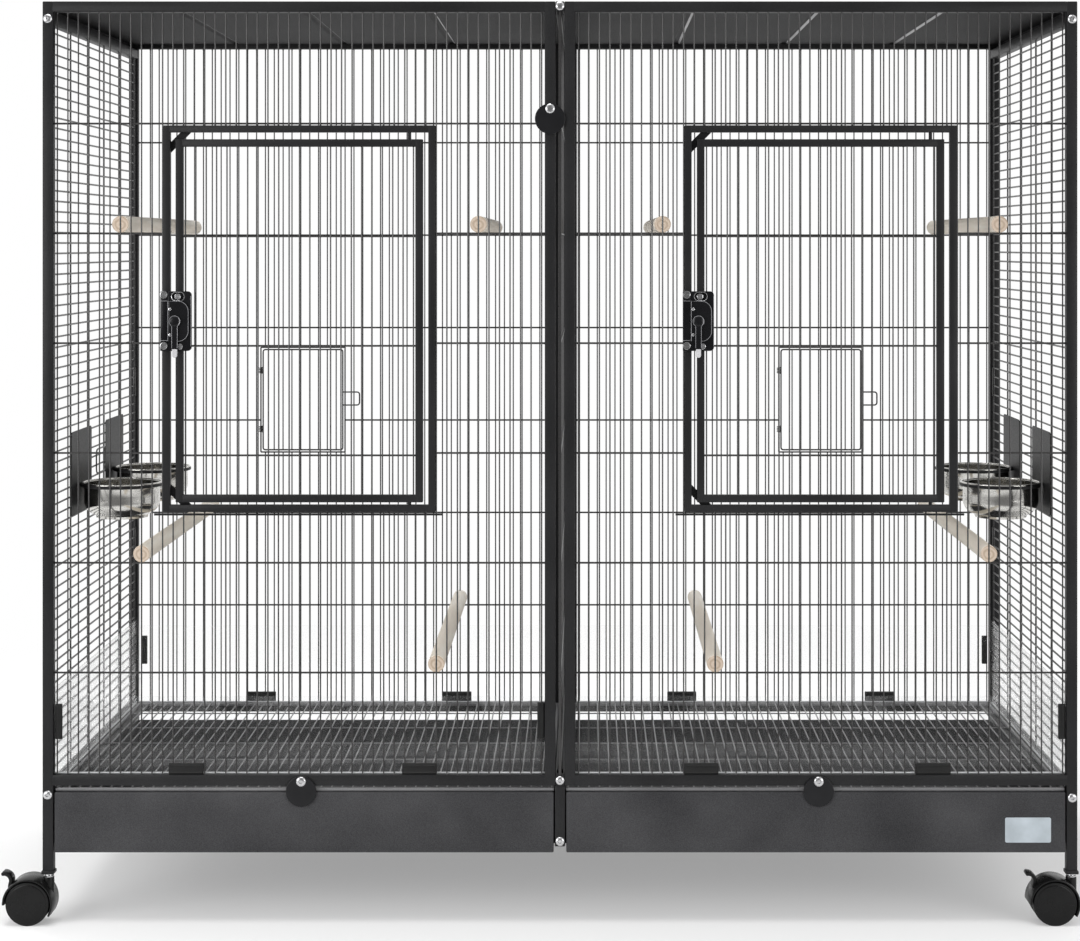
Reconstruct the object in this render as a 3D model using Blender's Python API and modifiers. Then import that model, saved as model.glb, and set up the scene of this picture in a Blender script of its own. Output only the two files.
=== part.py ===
"""A double bird cage on casters: two wire cages side by side with a sliding divider between them.

Metres. X to the right, Y to the back, Z up. The origin is on the floor under the middle.
Each cage is a front and a back panel joined by a side panel, a roof and the shared centre frame.
"""

import math

import bmesh
import bpy
from mathutils import Matrix, Vector

# Overall sizes
TOTAL_HEIGHT = 1.546
CAGE_WIDTH = 0.860
CAGE_GAP = 0.015
FRAME_DEPTH = 0.735
TUBE = 0.018

# Clearance between pieces, how far joined shapes sink into each other, how far a cutter runs past
FIT = 0.0003
BITE = 0.001
PAST = 0.002

# Heights of the rails and legs
FRONT_RAIL_BOTTOM = 0.231
BACK_RAIL_BOTTOM = 0.207
LEG_PLUG_HEIGHT = 0.0055
LEG_PLUG_WIDTH = 0.022
STEM_SEAT = 0.0829

# Wire mesh
WIRE_RADIUS = 0.0010
WIRE_SIDES = 3
WIRE_PITCH = 0.01768
LOWEST_LEVEL = 0.419
LEVEL_STEP = 0.1845
LEVELS = 6
SIDE_PITCH = 0.0177
SIDE_UPRIGHTS = 4
SIDE_MESH_INSET = 0.0125
EDGE_BAR = 0.003
EDGE_INSET = 0.005

# Door and its surround
SURROUND_TUBE = 0.012
DOOR_TUBE = 0.0113
SURROUND_WIDTH = 0.457
SURROUND_BOTTOM = 0.6894
SURROUND_TOP = 1.3384
DOOR_FORWARD = 0.0003
DOOR_SIDE_GAP = 0.009
DOOR_TOP_GAP = 0.0114
DOOR_BOTTOM_GAP = 0.0049
DOOR_WIRE_PITCH = 0.0174
DOOR_LOWEST_LEVEL = 0.784
DOOR_LEVEL_STEP = 0.184
DOOR_LEVEL_COUNT = 3
HINGE_INSET = 0.0228
HINGE_SHOULDER_RADIUS = 0.003
HINGE_PIN_RADIUS = 0.002
HINGE_PIN_LENGTH = 0.006
STRAP_REACH = 0.027
STRAP_WIDTH = 0.013
STRAP_THICKNESS = 0.0015

# Door lock, its housing and its lever set out from the lock's bottom
LOCK_BOTTOM = 0.960
LOCK_HEIGHT = 0.100
LOCK_WIDTH = 0.0389
LOCK_THICKNESS = 0.008
LOCK_CORNER = 0.0067
LOCK_OVERLAP = 0.0019
LOCK_SLOT_INSET = 0.006
LOCK_SLOT_DROP = 0.003
LOCK_SLOT_LENGTH = 0.020
LOCK_SLOT_HEIGHT = 0.012
LOCK_SLOT_CORNER = 0.0055
KEEPER_WIDTH = 0.013
HOUSING_INSET = 0.002
HOUSING_LIFT = 0.016
HOUSING_WIDTH = 0.033
HOUSING_HEIGHT = 0.068
HOUSING_BOW = 0.0174
HOUSING_RISE = 0.005
LEVER_LIFT = 0.050
LEVER_INSET = 0.0125
LEVER_BOSS_RADIUS = 0.0097
LEVER_WIDTH = 0.010
LEVER_REACH = 0.061
LEVER_THICKNESS = 0.004
LEVER_PIN_RADIUS = 0.0025

# Disc latches
DISC_RADIUS = 0.0255
DISC_THICKNESS = 0.004
DISC_PIVOT_RISE = 0.017
DISC_PIVOT_LIFT = 0.008
DISC_OFFSET = 0.004
PIVOT_BOLT_RADIUS = 0.004
PIVOT_HEAD_RADIUS = 0.0085
PIVOT_HEAD_THICKNESS = 0.003
DIVIDER_LATCH_DROP = 0.180

# Hatches in the back panels, in wire pitches from the middle of the cage
HATCH_BOTTOM = 0.724
HATCH_TOP = 0.933
HATCH_LEFT_PITCHES = {-1: -9.5, 1: -0.5}
HATCH_WIDTH_PITCHES = 9.5
HATCH_GAP = 0.0015
HATCH_CORNER = 0.006
KNUCKLE_RADIUS = 0.0039
KNUCKLE_BORE = 0.0027
KNUCKLE_LENGTH = 0.012
KNUCKLE_INSET = 0.040
LOOP_BOTTOM = 0.816
LOOP_HEIGHT = 0.029
LOOP_WIDTH = 0.033
LOOP_STANDOFF = 0.0045
LOOP_RADIUS = 0.0015
LOOP_CORNER = 0.005

# Roof sheets
ROOF_DROP = 0.008
ROOF_OUTER_GAP = 0.001
ROOF_SHEET = 0.001
ROOF_INNER_FLANGE = 0.008
ROOF_RIBS = 3
RIB_WIDTH = 0.014
RIB_RISE = 0.003

# Side channels, centre frame and divider
CHANNEL_WEB = 0.002
CHANNEL_FLANGE = 0.0225
SIDE_RAIL_DROP = 0.002
DRAWER_LEDGE_BOTTOM = 0.130
GRATE_LEDGE_TOP = 0.221
CENTRE_RAIL_WIDTH = 0.0144
STUB_WIDTH = 0.017
STUB_NECK_INSET = 0.0007
CENTRE_TOP_RAIL_HEIGHT = 0.016
GUIDE_HEIGHT = 0.006
GUIDE_WALL = 0.0024
DIVIDER_THICKNESS = 0.005
DIVIDER_BAR = 0.006
DIVIDER_SETBACK = 0.001

# Grates and drawers
GRATE_BAR = 0.005
GRATE_CROSS_WIRES = 5
GRATE_CROSS_START = 0.7
GRATE_CROSS_STEPS = 5.35
GRATE_CENTRE_GAP = 0.0015
GRATE_BACK_GAP = 0.005
DRAWER_FRONT_BOTTOM = 0.119
DRAWER_FRONT_THICKNESS = 0.016
DRAWER_SIDE_GAP = 0.002
TRAY_SIDE_GAP = 0.0025
TRAY_CENTRE_GAP = 0.0035
TRAY_HEIGHT = 0.063
TRAY_WALL = 0.0012
TRAY_SHORT_OF_BACK = 0.0375

# Clear guards
GUARD_THICKNESS = 0.003
GUARD_TOP = 0.379
SIDE_GUARD_TOP = 0.391

# Perches: name, cage, wire number from the middle of the cage, mesh level
PERCH_RADIUS = 0.014
PERCH_OVERHANG = 0.0025
PERCH_SLOT_WIDTH = 0.0026
PERCH_SLOT_DEPTH = 0.010
WIRE_BESIDE_DOOR = int((SURROUND_WIDTH / 2 + PERCH_RADIUS) / WIRE_PITCH) + 2
PERCHES = (
    ("left_perch_top_outer", -1, -17, 4),
    ("left_perch_top_inner", -1, 17, 4),
    ("left_perch_middle", -1, -15, 1),
    ("left_perch_low", -1, 13, 0),
    ("right_perch_top_inner", 1, -WIRE_BESIDE_DOOR, 4),
    ("right_perch_top_outer", 1, 17, 4),
    ("right_perch_middle", 1, 16, 1),
    ("right_perch_low", 1, -10, 0),
)

# Feeding bowls and their holders
BOWL_RADIUS = 0.071
BOWL_BODY_RADIUS = 0.0664
BOWL_FOOT_RADIUS = 0.045
BOWL_RIM_TOP = 0.718
BOWL_RIM_THICKNESS = 0.0024
BOWL_DEPTH = 0.063
BOWL_BEND = 0.0284
BOWL_WALL = 0.0012
BOWL_Y = 0.140
RING_HEIGHT = 0.005
PLATE_WIDTH = 0.160
PLATE_HEIGHT = 0.147
PLATE_BOTTOM = 0.664
PLATE_THICKNESS = 0.0015
PLATE_CORNER = 0.008
ROUND_STEPS = 16

# Casters
WHEEL_RADIUS = 0.0365
CASTER_WIDTH = 0.052
CASTER_BODY_WIDTH = 0.012
WHEEL_CHAMFER = 0.002
WHEEL_SIDE_GAP = 0.001
AXLE_RADIUS = 0.004
HOOD_RADIUS = 0.042
HOOD_WALL = 0.0035
HOOD_FROM = -30.0
HOOD_TO = 182.0
HOOD_STEPS = 10
HOOD_HUB_RADIUS = 0.010
CASTER_TRAIL = 0.031
NECK_RADIUS = 0.009
NECK_TOP = 0.078
WASHER_RADIUS = 0.0065
STEM_RADIUS = 0.004
STEM_LENGTH = 0.015
BRAKE_ANGLE = 138.0
BRAKE_LENGTH = 0.026
BRAKE_WIDTH = 0.020
BRAKE_ROOT_RADIUS = 0.0025
BRAKE_THICKNESS = 0.003
BRAKE_LIFT = 0.003

# Values that follow from the sizes above
CAGE_CENTRE = (CAGE_WIDTH + CAGE_GAP) / 2
CAGE_INNER = CAGE_GAP / 2
CAGE_OUTER = CAGE_INNER + CAGE_WIDTH
POST_X = CAGE_OUTER - TUBE / 2
FRAME_FACE = FRAME_DEPTH / 2
PLANE_Y = FRAME_FACE - TUBE / 2
BETWEEN_PANELS = FRAME_FACE - TUBE - FIT
LAYER = WIRE_RADIUS + FIT / 2
WIRES_EACH_SIDE = int((CAGE_WIDTH / 2 - TUBE - 2 * WIRE_RADIUS) / WIRE_PITCH)
TOP_RAIL_BOTTOM = TOTAL_HEIGHT - TUBE
SIDE_TOP_RAIL_TOP = TOP_RAIL_BOTTOM - SIDE_RAIL_DROP
SIDE_MESH_X = CAGE_OUTER - SIDE_MESH_INSET
PLUG_TOP = STEM_SEAT + LEG_PLUG_HEIGHT
LEVEL_HEIGHTS = [LOWEST_LEVEL + LEVEL_STEP * index for index in range(LEVELS)]
DOOR_LEVELS = [DOOR_LOWEST_LEVEL + DOOR_LEVEL_STEP * index for index in range(DOOR_LEVEL_COUNT)]
SURROUND_INNER = SURROUND_WIDTH / 2 - SURROUND_TUBE
DOOR_HALF = SURROUND_INNER - DOOR_SIDE_GAP
DOOR_WIRES_EACH_SIDE = int((DOOR_HALF - DOOR_TUBE - 2 * WIRE_RADIUS) / DOOR_WIRE_PITCH)
DOOR_BOTTOM = SURROUND_BOTTOM + SURROUND_TUBE + DOOR_BOTTOM_GAP
DOOR_TOP = SURROUND_TOP - SURROUND_TUBE - DOOR_TOP_GAP
HINGE_X = DOOR_HALF - HINGE_INSET
DOOR_FRONT_Y = -PLANE_Y - DOOR_TUBE / 2 - DOOR_FORWARD
LOCK_LEFT = -SURROUND_INNER - LOCK_OVERLAP
SURROUND_FRONT_Y = -PLANE_Y - SURROUND_TUBE / 2
LOCK_FRONT_Y = SURROUND_FRONT_Y - FIT - LOCK_THICKNESS
HOUSING_BOTTOM = LOCK_BOTTOM + HOUSING_LIFT
LEVER_X = LOCK_LEFT + LEVER_INSET
LEVER_Z = LOCK_BOTTOM + LEVER_LIFT
LEVER_BACK_Y = LOCK_FRONT_Y - HOUSING_RISE - FIT
DISC_BACK_Y = -FRAME_FACE - FIT
DISC_FRONT_Y = DISC_BACK_Y - DISC_THICKNESS
DISC_PIVOT_Z = FRONT_RAIL_BOTTOM + DISC_PIVOT_LIFT
DIVIDER_LATCH_Z = TOTAL_HEIGHT - DIVIDER_LATCH_DROP
ROOF_TOP = TOTAL_HEIGHT - ROOF_DROP
CHANNEL_BOTTOM = DRAWER_LEDGE_BOTTOM
CENTRE_LEDGE = CHANNEL_WEB / 2 + CHANNEL_FLANGE
GUIDE_GROOVE = DIVIDER_THICKNESS / 2 + 2 * FIT
GRATE_BOTTOM = GRATE_LEDGE_TOP + FIT
TRAY_BACK = FRAME_FACE - TRAY_SHORT_OF_BACK
PERCH_END = PLANE_Y + PERCH_OVERHANG
PLATE_X = SIDE_MESH_X - EDGE_BAR / 2 - FIT
BOWL_X = PLATE_X - PLATE_THICKNESS - 2 * FIT - BOWL_RADIUS

# Colours: red, green, blue, roughness, metallic
CHARCOAL = (0.030, 0.030, 0.031, 0.50, 0.3)
BLACK = (0.012, 0.012, 0.012, 0.45, 0.0)
DRAWER_GREY = (0.070, 0.070, 0.072, 0.50, 0.3)
LIGHT_GREY = (0.42, 0.42, 0.43, 0.45, 0.4)
STEEL = (0.62, 0.62, 0.63, 0.22, 1.0)
WOOD = (0.62, 0.42, 0.24, 0.60, 0.0)
CLEAR = (0.85, 0.88, 0.88, 0.08, 0.0)
RUBBER = (0.020, 0.020, 0.020, 0.65, 0.0)

for leftover in list(bpy.data.objects):
    bpy.data.objects.remove(leftover)

scene_root = bpy.context.scene.collection
parts = bpy.data.collections.new("double_bird_cage")
helpers = bpy.data.collections.new("helpers")
scene_root.children.link(parts)
scene_root.children.link(helpers)


# Basic shapes, all made as helpers in world coordinates
def helper(name, mesh):
    obj = bpy.data.objects.new(name, mesh)
    obj.hide_render = True
    obj.display_type = "WIRE"
    helpers.objects.link(obj)
    return obj


def helper_from_bmesh(name, bm):
    bmesh.ops.recalc_face_normals(bm, faces=bm.faces)
    mesh = bpy.data.meshes.new(name)
    bm.to_mesh(mesh)
    bm.free()
    return helper(name, mesh)


def box(low, high):
    low = Vector(low)
    high = Vector(high)
    size = high - low
    bm = bmesh.new()
    place = Matrix.Translation((low + high) / 2) @ Matrix.Diagonal((*size, 1.0))
    bmesh.ops.create_cube(bm, size=1.0, matrix=place)
    return helper_from_bmesh("box", bm)


def add_rod(bm, start, end, radius, sides):
    start = Vector(start)
    end = Vector(end)
    along = end - start
    turn = along.to_track_quat("Z", "Y").to_matrix().to_4x4()
    bmesh.ops.create_cone(
        bm,
        cap_ends=True,
        segments=sides,
        radius1=radius,
        radius2=radius,
        depth=along.length,
        matrix=Matrix.Translation((start + end) / 2) @ turn,
    )


def rod(start, end, radius, sides=12):
    bm = bmesh.new()
    add_rod(bm, start, end, radius, sides)
    return helper_from_bmesh("rod", bm)


def wires(lines):
    bm = bmesh.new()
    for start, end in lines:
        add_rod(bm, start, end, WIRE_RADIUS, WIRE_SIDES)
    return helper_from_bmesh("wires", bm)


def solid_of_curve(name, data):
    curve = bpy.data.objects.new(name, data)
    helpers.objects.link(curve)
    graph = bpy.context.evaluated_depsgraph_get()
    mesh = bpy.data.meshes.new_from_object(curve.evaluated_get(graph))
    bpy.data.objects.remove(curve)
    bm = bmesh.new()
    bm.from_mesh(mesh)
    bmesh.ops.remove_doubles(bm, verts=bm.verts, dist=0.00001)
    return bm


PLANES = {
    "XZ": Matrix(((1, 0, 0, 0), (0, 0, -1, 0), (0, 1, 0, 0), (0, 0, 0, 1))),
    "YZ": Matrix(((0, 0, 1, 0), (1, 0, 0, 0), (0, 1, 0, 0), (0, 0, 0, 1))),
    "XY": Matrix.Identity(4),
}
NORMALS = {"XZ": (0, 1, 0), "YZ": (1, 0, 0), "XY": (0, 0, 1)}


def plate(plane, outline, low, high, holes=()):
    """A flat outline in the plane, filled and extruded between two offsets along the plane's normal."""
    data = bpy.data.curves.new("plate", "CURVE")
    data.dimensions = "2D"
    data.fill_mode = "BOTH"
    data.extrude = (high - low) / 2
    for ring in (outline, *holes):
        spline = data.splines.new("POLY")
        spline.points.add(len(ring) - 1)
        for point, (across, up) in zip(spline.points, ring):
            point.co = (across, up, 0.0, 1.0)
        spline.use_cyclic_u = True
    bm = solid_of_curve("plate", data)
    shift = Vector(NORMALS[plane]) * ((low + high) / 2)
    bmesh.ops.transform(bm, matrix=Matrix.Translation(shift) @ PLANES[plane], verts=bm.verts)
    return helper_from_bmesh("plate", bm)


def bent_wire(points, radius):
    data = bpy.data.curves.new("bent_wire", "CURVE")
    data.dimensions = "3D"
    data.bevel_depth = radius
    data.bevel_resolution = 0
    data.use_fill_caps = True
    spline = data.splines.new("POLY")
    spline.points.add(len(points) - 1)
    for point, place in zip(spline.points, points):
        point.co = (*place, 1.0)
    return helper_from_bmesh("bent_wire", solid_of_curve("bent_wire", data))


def turned(profile, steps, place):
    """A profile of radius and height turned about Z, then moved by the matrix."""
    mesh = bpy.data.meshes.new("turned")
    points = [(radius, 0.0, height) for radius, height in profile]
    edges = [(index, index + 1) for index in range(len(points) - 1)]
    mesh.from_pydata(points, edges, [])
    obj = helper("turned", mesh)
    screw = obj.modifiers.new("turn", "SCREW")
    screw.steps = steps
    screw.render_steps = steps
    screw.use_merge_vertices = True
    screw.merge_threshold = 0.00001
    graph = bpy.context.evaluated_depsgraph_get()
    whole = bpy.data.meshes.new_from_object(obj.evaluated_get(graph))
    bpy.data.objects.remove(obj)
    bm = bmesh.new()
    bm.from_mesh(whole)
    bmesh.ops.transform(bm, matrix=place, verts=bm.verts)
    return helper_from_bmesh("turned", bm)


def combine(first, others, operation):
    for other in others:
        step = first.modifiers.new(operation.lower(), "BOOLEAN")
        step.operation = operation
        step.solver = "EXACT"
        step.object = other
    graph = bpy.context.evaluated_depsgraph_get()
    mesh = bpy.data.meshes.new_from_object(first.evaluated_get(graph))
    first.modifiers.clear()
    first.data = mesh
    for other in others:
        bpy.data.objects.remove(other)
    return first


def union(first, *others):
    return combine(first, others, "UNION")


def cut(first, *others):
    return combine(first, others, "DIFFERENCE")


# Outlines
def rectangle(left, bottom, right, top):
    return [(left, bottom), (right, bottom), (right, top), (left, top)]


def arc(centre, radius, start, end, steps):
    """Points on an arc, its angles in degrees."""
    points = []
    for index in range(steps + 1):
        angle = math.radians(start + (end - start) * index / steps)
        across = centre[0] + radius * math.cos(angle)
        points.append((across, centre[1] + radius * math.sin(angle)))
    return points


def circle(centre, radius, steps):
    return arc(centre, radius, 0.0, 360.0, steps)[:-1]


def rounded(left, bottom, right, top, radii, steps=3):
    """A rectangle with a radius for each corner, from the lower left one round to the upper left one."""
    corners = ((left, bottom, 180.0), (right, bottom, 270.0), (right, top, 0.0), (left, top, 90.0))
    points = []
    for (x, z, start), radius in zip(corners, radii):
        if radius == 0.0:
            points.append((x, z))
            continue
        centre_x = x + radius if x == left else x - radius
        centre_z = z + radius if z == bottom else z - radius
        points += arc((centre_x, centre_z), radius, start, start + 90.0, steps)
    return points


def bore_radius(radius, sides):
    """The radius of a faceted hole that a round piece clears on its flats."""
    return (radius + FIT) / math.cos(math.pi / sides)


# Finishing a part
def finish(obj, name, colour, pivot=(0.0, 0.0, 0.0), smooth=False):
    red, green, blue, roughness, metallic = colour
    obj.name = name
    obj.data.name = name
    obj.hide_render = False
    obj.display_type = "TEXTURED"
    helpers.objects.unlink(obj)
    parts.objects.link(obj)
    obj.data.transform(Matrix.Translation(-Vector(pivot)))
    obj.location = pivot
    material = bpy.data.materials.new(name)
    material.use_nodes = True
    shader = material.node_tree.nodes["Principled BSDF"]
    shader.inputs["Base Color"].default_value = (red, green, blue, 1.0)
    shader.inputs["Roughness"].default_value = roughness
    shader.inputs["Metallic"].default_value = metallic
    if colour is CLEAR:
        shader.inputs["Transmission Weight"].default_value = 0.9
    obj.data.materials.clear()
    obj.data.materials.append(material)
    if smooth:
        obj.data.shade_smooth()
        obj.data.set_sharp_from_angle(angle=math.radians(40.0))
    return obj


def carry(child, parent):
    bpy.context.view_layer.update()
    child.parent = parent
    child.matrix_parent_inverse = parent.matrix_world.inverted()


# Wire meshes
def split_run(low, high, blocked):
    """The stretches of a wire that runs from low to high but is broken by the blocked span."""
    if blocked is None:
        return [(low - BITE, high + BITE)]
    return [(low - BITE, blocked[0] + BITE), (blocked[1] - BITE, high + BITE)]


def panel_wires(middle, face, bottom, window):
    """The uprights and level wires of a front or back panel, broken round the window."""
    left, sill, right, head = window
    half = CAGE_WIDTH / 2 - TUBE
    upright_y = face * (PLANE_Y + LAYER)
    level_y = face * (PLANE_Y - LAYER)
    lines = []
    for index in range(-WIRES_EACH_SIDE, WIRES_EACH_SIDE + 1):
        x = middle + index * WIRE_PITCH
        blocked = (sill, head) if left < x < right else None
        for low, high in split_run(bottom, TOP_RAIL_BOTTOM, blocked):
            lines.append(((x, upright_y, low), (x, upright_y, high)))
    for z in LEVEL_HEIGHTS:
        blocked = (left, right) if sill < z < head else None
        for low, high in split_run(middle - half, middle + half, blocked):
            lines.append(((low, level_y, z), (high, level_y, z)))
    return wires(lines)


def ladder_wires(x, upright_x, end_y, bottom, top):
    """Close level wires along Y between two end bars, with a few uprights beside them."""
    count = int((top - bottom) / SIDE_PITCH)
    first = (bottom + top) / 2 - SIDE_PITCH * (count - 1) / 2
    lines = []
    for index in range(count):
        z = first + SIDE_PITCH * index
        lines.append(((x, -end_y - BITE, z), (x, end_y + BITE, z)))
    for index in range(SIDE_UPRIGHTS):
        y = end_y * (2 * (index + 1) / (SIDE_UPRIGHTS + 1) - 1)
        lines.append(((upright_x, y, bottom - BITE), (upright_x, y, top + BITE)))
    return wires(lines)


# Front and back panels
def panel_frame(side, face, rail_bottom):
    """The welded square tubes of a panel, with the outer tube going on down as the leg."""
    inner = side * CAGE_INNER
    outer = side * CAGE_OUTER
    leg = outer - side * TUBE
    outline = [
        (inner, rail_bottom),
        (leg, rail_bottom),
        (leg, PLUG_TOP - BITE),
        (outer, PLUG_TOP - BITE),
        (outer, TOTAL_HEIGHT),
        (inner, TOTAL_HEIGHT),
    ]
    hole = rectangle(inner + side * TUBE, rail_bottom + TUBE, leg, TOP_RAIL_BOTTOM)
    low, high = sorted((face * (FRAME_FACE - TUBE), face * FRAME_FACE))
    frame = plate("XZ", outline, low, high, [hole])
    x = side * POST_X
    y = face * PLANE_Y
    half = LEG_PLUG_WIDTH / 2
    plug = box((x - half, y - half, STEM_SEAT), (x + half, y + half, PLUG_TOP))
    bore = rod(
        (x, y, STEM_SEAT - PAST),
        (x, y, STEM_SEAT + STEM_LENGTH + FIT),
        bore_radius(STEM_RADIUS, 8),
        8,
    )
    return cut(union(frame, plug), bore)


def hinge_bore(x, low, high):
    radius = bore_radius(HINGE_PIN_RADIUS, 8)
    return rod((x, -PLANE_Y, low), (x, -PLANE_Y, high), radius, 8)


def door_surround(middle):
    half = SURROUND_WIDTH / 2
    inside = SURROUND_INNER
    sill = SURROUND_BOTTOM + SURROUND_TUBE
    head = SURROUND_TOP - SURROUND_TUBE
    low = -PLANE_Y - SURROUND_TUBE / 2
    high = -PLANE_Y + SURROUND_TUBE / 2
    tubes = plate(
        "XZ",
        rectangle(middle - half, SURROUND_BOTTOM, middle + half, SURROUND_TOP),
        low,
        high,
        [rectangle(middle - inside, sill, middle + inside, head)],
    )
    deep = HINGE_PIN_LENGTH + 2 * FIT
    x = middle + HINGE_X
    cut(tubes, hinge_bore(x, sill - deep, sill + PAST), hinge_bore(x, head - PAST, head + deep))
    strap_y = DOOR_FRONT_Y + DOOR_TUBE + FIT
    straps = []
    for corner_z, up in ((sill, -1.0), (head, 1.0)):
        straps.append(stop_strap(middle - inside, corner_z, up, strap_y))
    return union(tubes, *straps, lock_keeper(middle))


def stop_strap(corner_x, corner_z, up, y):
    """A flat strap across an inner corner of the surround, behind the door, that stops the door."""
    along = Vector((1.0, up)).normalized()
    across = Vector((-along.y, along.x)) * STRAP_WIDTH / 2
    hold = along * SURROUND_TUBE * 0.65
    upper = Vector((corner_x + STRAP_REACH, corner_z)) + hold
    lower = Vector((corner_x, corner_z - up * STRAP_REACH)) - hold
    ends = (lower - across, upper - across, upper + across, lower + across)
    return plate("XZ", [tuple(end) for end in ends], y, y + STRAP_THICKNESS)


def lock_keeper(middle):
    right = middle + LOCK_LEFT - FIT
    low = (right - KEEPER_WIDTH, LOCK_FRONT_Y, LOCK_BOTTOM)
    high = (right, SURROUND_FRONT_Y + BITE / 2, LOCK_BOTTOM + LOCK_HEIGHT)
    return box(low, high)


def pivot_bolt(x, z):
    """The headed bolt that a disc latch hangs on, fixed in the tube behind it."""
    head_y = DISC_FRONT_Y - FIT
    shank = rod((x, -FRAME_FACE + 2 * BITE, z), (x, head_y - BITE, z), PIVOT_BOLT_RADIUS, 8)
    head = rod((x, head_y, z), (x, head_y - PIVOT_HEAD_THICKNESS, z), PIVOT_HEAD_RADIUS, 10)
    return union(shank, head)


def front_panel(side, name):
    middle = side * CAGE_CENTRE
    half = SURROUND_WIDTH / 2
    window = (middle - half, SURROUND_BOTTOM, middle + half, SURROUND_TOP)
    bottom = FRONT_RAIL_BOTTOM + TUBE
    bolts = [pivot_bolt(side * (CAGE_CENTRE - DISC_OFFSET), DISC_PIVOT_Z)]
    if side < 0:
        bolts.append(pivot_bolt(-CAGE_INNER - TUBE / 2, DIVIDER_LATCH_Z))
    panel = union(
        panel_frame(side, -1, FRONT_RAIL_BOTTOM),
        door_surround(middle),
        panel_wires(middle, -1, bottom, window),
        *bolts,
    )
    return finish(panel, name + "front_panel", CHARCOAL)


def hatch_span(side):
    left = side * CAGE_CENTRE + HATCH_LEFT_PITCHES[side] * WIRE_PITCH
    return left, left + HATCH_WIDTH_PITCHES * WIRE_PITCH


def back_panel(side, name):
    middle = side * CAGE_CENTRE
    left, right = hatch_span(side)
    half = EDGE_BAR / 2
    window = (left - half, HATCH_BOTTOM - half, right + half, HATCH_TOP + half)
    hole = rectangle(left + half, HATCH_BOTTOM + half, right - half, HATCH_TOP - half)
    edging = plate("XZ", rectangle(*window), PLANE_Y - half, PLANE_Y + half, [hole])
    panel = union(
        panel_frame(side, 1, BACK_RAIL_BOTTOM),
        edging,
        panel_wires(middle, 1, BACK_RAIL_BOTTOM + TUBE, window),
    )
    return finish(panel, name + "back_panel", CHARCOAL)


# Doors and locks
def door(side, name):
    middle = side * CAGE_CENTRE
    hinge = (middle + HINGE_X, -PLANE_Y, DOOR_BOTTOM)
    outline = rectangle(middle - DOOR_HALF, DOOR_BOTTOM, middle + DOOR_HALF, DOOR_TOP)
    hole = rectangle(
        middle - DOOR_HALF + DOOR_TUBE,
        DOOR_BOTTOM + DOOR_TUBE,
        middle + DOOR_HALF - DOOR_TUBE,
        DOOR_TOP - DOOR_TUBE,
    )
    frame = plate("XZ", outline, DOOR_FRONT_Y, DOOR_FRONT_Y + DOOR_TUBE, [hole])
    lines = []
    for index in range(-DOOR_WIRES_EACH_SIDE, DOOR_WIRES_EACH_SIDE + 1):
        x = middle + index * DOOR_WIRE_PITCH
        y = -PLANE_Y - LAYER
        lines.append(((x, y, hole[0][1] - BITE), (x, y, hole[2][1] + BITE)))
    for z in DOOR_LEVELS:
        y = -PLANE_Y + LAYER
        lines.append(((hole[0][0] - BITE, y, z), (hole[2][0] + BITE, y, z)))
    pins = []
    for start, shoulder, up in (
        (DOOR_BOTTOM, SURROUND_BOTTOM + SURROUND_TUBE, -1),
        (DOOR_TOP, SURROUND_TOP - SURROUND_TUBE, 1),
    ):
        place = Vector((hinge[0], hinge[1], 0.0))
        root = place + Vector((0, 0, start - up * 2 * BITE))
        stop = place + Vector((0, 0, shoulder - up * FIT))
        tip = place + Vector((0, 0, shoulder + up * HINGE_PIN_LENGTH))
        thick = rod(root, stop, HINGE_SHOULDER_RADIUS, 8)
        pins.append(union(thick, rod(root, tip, HINGE_PIN_RADIUS, 8)))
    whole = union(frame, wires(lines), *pins)
    return finish(whole, name + "door", CHARCOAL, pivot=hinge)


def lock_case(side, name):
    left = side * CAGE_CENTRE + LOCK_LEFT
    right = left + LOCK_WIDTH
    top = LOCK_BOTTOM + LOCK_HEIGHT
    slot_left = left + LOCK_SLOT_INSET
    slot_top = top - LOCK_SLOT_DROP
    slot = rounded(
        slot_left,
        slot_top - LOCK_SLOT_HEIGHT,
        slot_left + LOCK_SLOT_LENGTH,
        slot_top,
        [LOCK_SLOT_CORNER] * 4,
        2,
    )
    case = plate(
        "XZ",
        rounded(left, LOCK_BOTTOM, right, top, (0.0, LOCK_CORNER, LOCK_CORNER, 0.0)),
        LOCK_FRONT_Y,
        LOCK_FRONT_Y + LOCK_THICKNESS,
        [slot],
    )
    housing_left = left + HOUSING_INSET
    housing = plate(
        "XZ",
        rounded(
            housing_left,
            HOUSING_BOTTOM,
            housing_left + HOUSING_WIDTH,
            HOUSING_BOTTOM + HOUSING_HEIGHT,
            (0.0, HOUSING_BOW, HOUSING_BOW, 0.0),
            3,
        ),
        LOCK_FRONT_Y - HOUSING_RISE,
        LOCK_FRONT_Y + BITE,
    )
    x = side * CAGE_CENTRE + LEVER_X
    pin_end = (x, LEVER_BACK_Y - LEVER_THICKNESS, LEVER_Z)
    pin = rod((x, LOCK_FRONT_Y, LEVER_Z), pin_end, LEVER_PIN_RADIUS, 8)
    return finish(union(case, housing, pin), name + "lock_case", BLACK)


def lock_lever(side, name):
    x = side * CAGE_CENTRE + LEVER_X
    back = LEVER_BACK_Y
    half = LEVER_WIDTH / 2
    lean = math.degrees(math.asin(half / LEVER_BOSS_RADIUS))
    outline = arc((x, LEVER_Z), LEVER_BOSS_RADIUS, lean - 90.0, 270.0 - lean, 12)
    outline += arc((x, LEVER_Z - LEVER_REACH + half), half, 180.0, 360.0, 4)
    hole = circle((x, LEVER_Z), bore_radius(LEVER_PIN_RADIUS, 8), 8)
    lever = plate("XZ", outline, back - LEVER_THICKNESS, back, [hole])
    return finish(lever, name + "lock_lever", BLACK, pivot=(x, back, LEVER_Z))


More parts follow.
